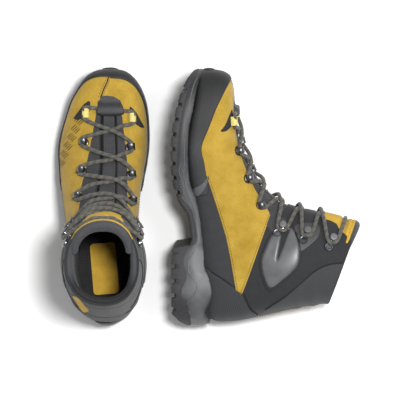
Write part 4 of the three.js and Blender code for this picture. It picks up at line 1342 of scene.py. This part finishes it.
# ---------------------------------------------------------------- fasteners
# Where the fasteners are: a place along the sections, and an angle from the instep in degrees.
LOOPS = {"medial": (5.0, 33), "lateral": (4.75, -31)}
EYELETS = {
    "medial": [(6.75, 30), (8.3, 36), (10.0, 45)],
    "lateral": [(6.45, -30), (8.1, -33), (9.8, -40)],
}
HOOKS = {"medial": [(12.6, 46), (15.1, 47), (17.3, 53)]}
HOOKS["lateral"] = [(at, -angle) for at, angle in HOOKS["medial"]]
LIFT = 0.7  # underside of a fastener above the upper
EYELET = {"disc": 5.6, "base": 1.9, "room": 5.6, "wall": 1.5, "length": 6.8}
LOOP = {"room": 5.6, "wall": 1.2, "length": 10.5}
HOOK = {"ring": 5.0, "base": 1.2, "post": 2.0, "rise": 6.4, "cap": 4.3, "cap_thick": 1.8, "reach": 10.5}
LACE = 4.4  # diameter of the lace
LACE_LIFT = LIFT + 4.2  # middle of the lace at a fastener
LACE_BESIDE = 4.2  # middle of a strand over the edges of the lacing
STRAND_RISE = 1.0  # how much higher the upper strand starts
LACE_UNDER = 0.8  # middle of the lower strand where two strands cross
LACE_OVER = 5.6  # middle of the upper one
TOE_BAR = 0.42  # how far the first bar of the lace lies in front of the loops, along the sections
TOE_BAR_OUT = 2.0  # middle of that bar off the skin
STRAND_LEVEL = {"from": 8, "span": 3.3, "drop": 1.0}  # where the strands drop, and how far, in sections
TOP_BAR = 0.35  # how far the last bar lies above the top hooks, along the sections
TOP_BAR_OUT = 1.8
POST_ROUTE = 6.0  # from the middle of a hook's post to the middle of the lace round it
LACE_SPACING = 1.05


def fastener_frame(place):
    """The origin and the axes of a fastener: X away from the lacing, Z off the surface."""
    at, angle = place[0], math.radians(place[1])
    point, normal, up, around = skin_frames(at, angle)
    away = around * math.copysign(1, place[1])
    away = unit(away - normal * np.dot(away, normal))
    return point, np.array([away, np.cross(normal, away), normal])


def at_fastener(body, place):
    origin, axes = fastener_frame(place)
    return body[0] @ axes + origin, body[1]


def tunnel(room, wall, length, foot, flare):
    """A bent strap that the lace runs under, along Y, with its rims turned out."""
    arc = np.linspace(0, math.pi, 14)
    half = length / 2
    profile = [(-half, 0), (-half + 0.7, 0.0), (half - 0.7, 0.0), (half, 0)]
    inner = [(y, -wall / 2 + (flare if abs(y) == half else 0)) for y, _ in profile]
    outer = [(y, wall / 2 + (flare if abs(y) == half else 0)) for y, _ in profile[::-1]]
    loop = np.array(inner + outer)
    radius = room / 2 + wall / 2
    legs = [(-radius, foot - 0.4), (-radius, foot + room / 2 - 0.5)]
    bend = [(-radius * math.cos(a), foot + room / 2 + radius * math.sin(a) * 0.9) for a in arc]
    line = np.array(legs + bend + [(radius, foot + room / 2 - 0.5), (radius, foot - 0.4)])
    ahead = unit(np.gradient(line, axis=0))
    out = np.stack([-ahead[:, 1], ahead[:, 0]], 1)
    points = []
    for centre, direction in zip(line, out):
        for y, distance in loop:
            x, z = centre + direction * distance
            points.append((x, y, z))
    count = len(loop)
    faces = [face[::-1] for face in ring_faces(len(line), count)]
    end = (len(line) - 1) * count
    for k in range(1, count - 1):
        faces += [(0, k, k + 1), (end, end + k + 1, end + k)]
    return np.array(points, float), np.array(faces)


def make_eyelet():
    radius, base = EYELET["disc"], EYELET["base"]
    rivet = lathe([
        (0, LIFT - 0.9), (radius, LIFT - 0.9), (radius + 0.2, LIFT + 0.3), (radius - 0.2, LIFT + base * 0.75),
        (radius - 1.0, LIFT + base), (radius - 2.2, LIFT + base * 0.8), (0, LIFT + base * 0.8),
    ])
    barrel = tunnel(EYELET["room"], EYELET["wall"], EYELET["length"], LIFT + base * 0.8, 0.5)
    return together(rivet, barrel)


def make_hook():
    ring, base, reach = HOOK["ring"], HOOK["base"], HOOK["reach"]
    rivet = lathe([
        (0, LIFT - 0.9), (ring, LIFT - 0.9), (ring + 0.1, LIFT + 0.4), (ring - 0.5, LIFT + base + 0.3),
        (ring - 1.3, LIFT + base + 0.4), (ring - 2.0, LIFT + base), (ring - 2.3, LIFT + 0.2), (0, LIFT + 0.1),
    ], centre=(reach, 0))
    low, high = LIFT - 0.6, LIFT + base
    foot = lathe([(0, low), (3.4, low), (3.4, high - 0.3), (3.0, high), (0, high)])
    arm_line = np.array([(x, 0, LIFT + base / 2) for x in np.linspace(0, reach - ring + 1, 5)])
    arm = sweep(arm_line, [2.6, 2.4, 2.3, 2.4, 2.6], sides=12, flat=0.26, up=(0, 0, 1))
    rise = LIFT + base + HOOK["rise"]
    post = lathe([(0, LIFT), (2.6, LIFT + 0.8), (2.0, LIFT + 2.4), (1.9, rise - 0.6), (0, rise)])
    return together(rivet, foot, arm, post)


def make_cap():
    cap, thick = HOOK["cap"], HOOK["cap_thick"]
    base = LIFT + HOOK["base"] + HOOK["rise"]
    return lathe([
        (0, base - 0.8), (2.4, base - 0.5), (cap - 0.3, base + 0.1), (cap, base + thick * 0.5),
        (cap - 0.5, base + thick * 0.9), (cap - 1.6, base + thick), (0, base + thick * 0.95),
    ])


STRAPS = {
    "lateral": [(-17, 264), (-24, 259), (-37, 242), (-31, 240.5), (-20, 244.5), (-16.5, 252)],
    "medial": [(29, 257), (36, 250), (46, 231), (41, 232), (31.5, 238.5), (28, 247)],
}


def facing_up(places):
    """A field that is above 0 on the front of the boot."""
    return np.cos(places[:, 1]) * 40


def make_fasteners():
    eyelet, hook, cap = make_eyelet(), make_hook(), make_cap()
    loop = tunnel(LOOP["room"], LOOP["wall"], LOOP["length"], LIFT + 0.3, 0.0)
    for side, sign in (("medial", 1), ("lateral", -1)):
        strap = panel(OUTSIDE, both(top_view(STRAPS[side]), facing_up), 0.2, 1.5, edge=0.9)
        piece(f"loop_strap_{side}", strap, "black_tape", "foot", slot="webbing")
        webbing = at_fastener(loop, LOOPS[side])
        piece(f"loop_{side}", webbing, "pale_webbing", "foot", [f"loop_{side}"], "webbing")
        for k, place in enumerate(EYELETS[side], 1):
            name, ride = f"eyelet_{side}_{k}", "flex" if k == 3 else "foot"
            piece(name, at_fastener(eyelet, place), "dark_steel", ride, [name], "metal")
        for k, place in enumerate(HOOKS[side], 1):
            name, ride = f"hook_{side}_{k}", "flex" if k == 1 else "cuff"
            piece(name, at_fastener(hook, place), "steel", ride, [name], "metal")
            piece(f"hook_cap_{side}_{k}", at_fastener(cap, place), "cap_grey", ride, slot="metal")


# ---------------------------------------------------------------- the lace
def through_tunnel(length):
    """Where the lace passes a tunnel, as (away from the lacing, up the boot)."""
    return [(0, -length / 2 - 1.5), (0, 0), (0, length / 2 + 1.5)]


POST_ANGLES = [math.radians(angle) for angle in (-70, 0, 70)]
ROUND_POST = [(POST_ROUTE * math.cos(angle), POST_ROUTE * math.sin(angle)) for angle in POST_ANGLES]


def levels(side):
    """The fasteners of one side from the toe up, and where the lace passes each."""
    rows = [(LOOPS[side], through_tunnel(LOOP["length"]))]
    rows += [(place, through_tunnel(EYELET["length"])) for place in EYELETS[side]]
    rows += [(place, ROUND_POST) for place in HOOKS[side]]
    return rows


def lace_around(place, reach, upward):
    point, normal, up, around = skin_frames(place[0], math.radians(place[1]))
    away = around * math.copysign(1, place[1])
    points = [point + away * side + up * along + normal * LACE_LIFT for side, along in reach]
    return points if upward else points[::-1]


def crossing(start, end, over):
    """Three points of a strand between two fasteners; over the shin it drops to stay level."""
    points = []
    drop = min(max(((start[0] + end[0]) / 2 - STRAND_LEVEL["from"]) / STRAND_LEVEL["span"], 0), 1)
    for share in (0.25, 0.5, 0.75):
        sag = drop * STRAND_LEVEL["drop"] * math.sin(math.pi * share)
        at = start[0] + (end[0] - start[0]) * (0.2 + 0.6 * share) - sag
        turn = math.radians(start[1] + (end[1] - start[1]) * share)
        middle = LACE_OVER if over else LACE_UNDER
        out = middle if share == 0.5 else LACE_BESIDE + (STRAND_RISE if over else 0)
        points.append(layer(at, turn, out))
    return points


def lace_route():
    """The lace: down from the middle of the top bar, across the toe bar and up again."""
    ladders = {side: levels(side) for side in ("medial", "lateral")}
    other = {"medial": "lateral", "lateral": "medial"}
    count = len(ladders["medial"])
    top_at, top_turn = HOOKS["medial"][2][0] + TOP_BAR, math.radians(HOOKS["medial"][2][1])
    points = [layer(top_at, top_turn * share, TOP_BAR_OUT) for share in (0.08, 0.35)]
    side = "medial"
    for k in range(count - 1, -1, -1):
        place, reach = ladders[side][k]
        points += lace_around(place, reach, False)
        if k:
            points += crossing(place, ladders[other[side]][k - 1][0], k % 2 == 0)
            side = other[side]
    points.append(layer(LOOPS["medial"][0] - TOE_BAR, 0.0, TOE_BAR_OUT))
    side = other[side]
    for k in range(count):
        place, reach = ladders[side][k]
        points += lace_around(place, reach, True)
        if k < count - 1:
            points += crossing(place, ladders[other[side]][k + 1][0], k % 2 == 0)
            side = other[side]
    points += [layer(top_at, -top_turn * share, TOP_BAR_OUT) for share in (0.35, 0.08)]
    return np.array(points)


def make_lace():
    sides = 12
    points, faces = sweep(LACE_LINE, LACE / 2, sides=sides, closed=True)
    turn = np.tile(np.arange(sides) * 2 * math.pi / sides, len(LACE_LINE))
    along = np.repeat(np.arange(len(LACE_LINE)), sides) * LACE_SPACING
    left_hand = np.sin(3 * turn + along * 1.05)
    right_hand = np.sin(3 * turn - along * 1.05)
    relief = 0.14 * np.maximum(left_hand, right_hand)
    points = points + unit(points - np.repeat(LACE_LINE, sides, 0)) * relief[:, None]
    marked = np.sin(along * 0.9 + 2.2 * np.sin(along * 0.17)) > 0.35
    fleck = 0.45 + 0.25 * left_hand * np.sin(turn * 2 + along * 0.33)
    fleck = np.clip(fleck + 0.35 * np.maximum(0, right_hand) ** 4 * marked, 0, 1)
    marks = {"fleck": fleck}
    piece("lace", (points, faces), "lace", "flex", ["lace"], "lace_cord", sharp=80, attributes=marks)


# ---------------------------------------------------------------- trim
# The printed strokes on the lateral suede seen from above: groups along a row, and strokes in each group.
HATCH = {"rows": 6, "columns": 4, "first": (-29.7, 239.7), "row": (-4.3, -9.7), "column": (1.8, -1.6),
         "stroke": (6.2, 6.3), "radius": 0.46}
TAB = [(-35, 39), (-27, 37), (-16.5, 21), (-24, 18)]


def make_trim():
    first, row_step, column_step, stroke = (np.array(HATCH[k]) for k in ("first", "row", "column", "stroke"))
    radius = HATCH["radius"] * np.array([0.4, 1.0, 1.0, 1.0, 0.4])
    dashes = []
    for row in range(HATCH["rows"]):
        for column in range(HATCH["columns"]):
            middle = first + row_step * row + column_step * (column - (HATCH["columns"] - 1) / 2)
            line = middle + np.linspace(-0.5, 0.5, 5)[:, None] * stroke
            at, turn = find_places(line).T
            dashes.append(sweep(layer(at, turn, 0.5), radius, sides=6))
    piece("hatch_marks", together(*dashes), "ink", "foot", slot="suede")
    behind = both(top_view(TAB), lambda places: (-0.1 - np.cos(places[:, 1])) * 40,
                  lambda places: (places[:, 0] - 15.5) * 20)
    tab = panel(OUTSIDE, behind, 0.1, 1.4, edge=0.7)
    piece("rear_tab", tab, "yellow_webbing", "cuff", slot="suede")


# The middle of the lace, which the tongue swells round as well.
LACE_LINE = evenly(smooth_line(lace_route(), closed=True, each=10), LACE_SPACING, closed=True)
make_sole()
make_upper()
make_cuff()
make_plates()
make_tongue()
make_collar()
make_footbed()
make_fasteners()
make_lace()
make_trim()
for boot_side in ("left", "right"):
    for entry in PIECES:
        build(entry, boot_side)
    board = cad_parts[f"{boot_side}_lasting_board"].data
    board.materials.clear()
    board.materials.append(SHADE["board"])
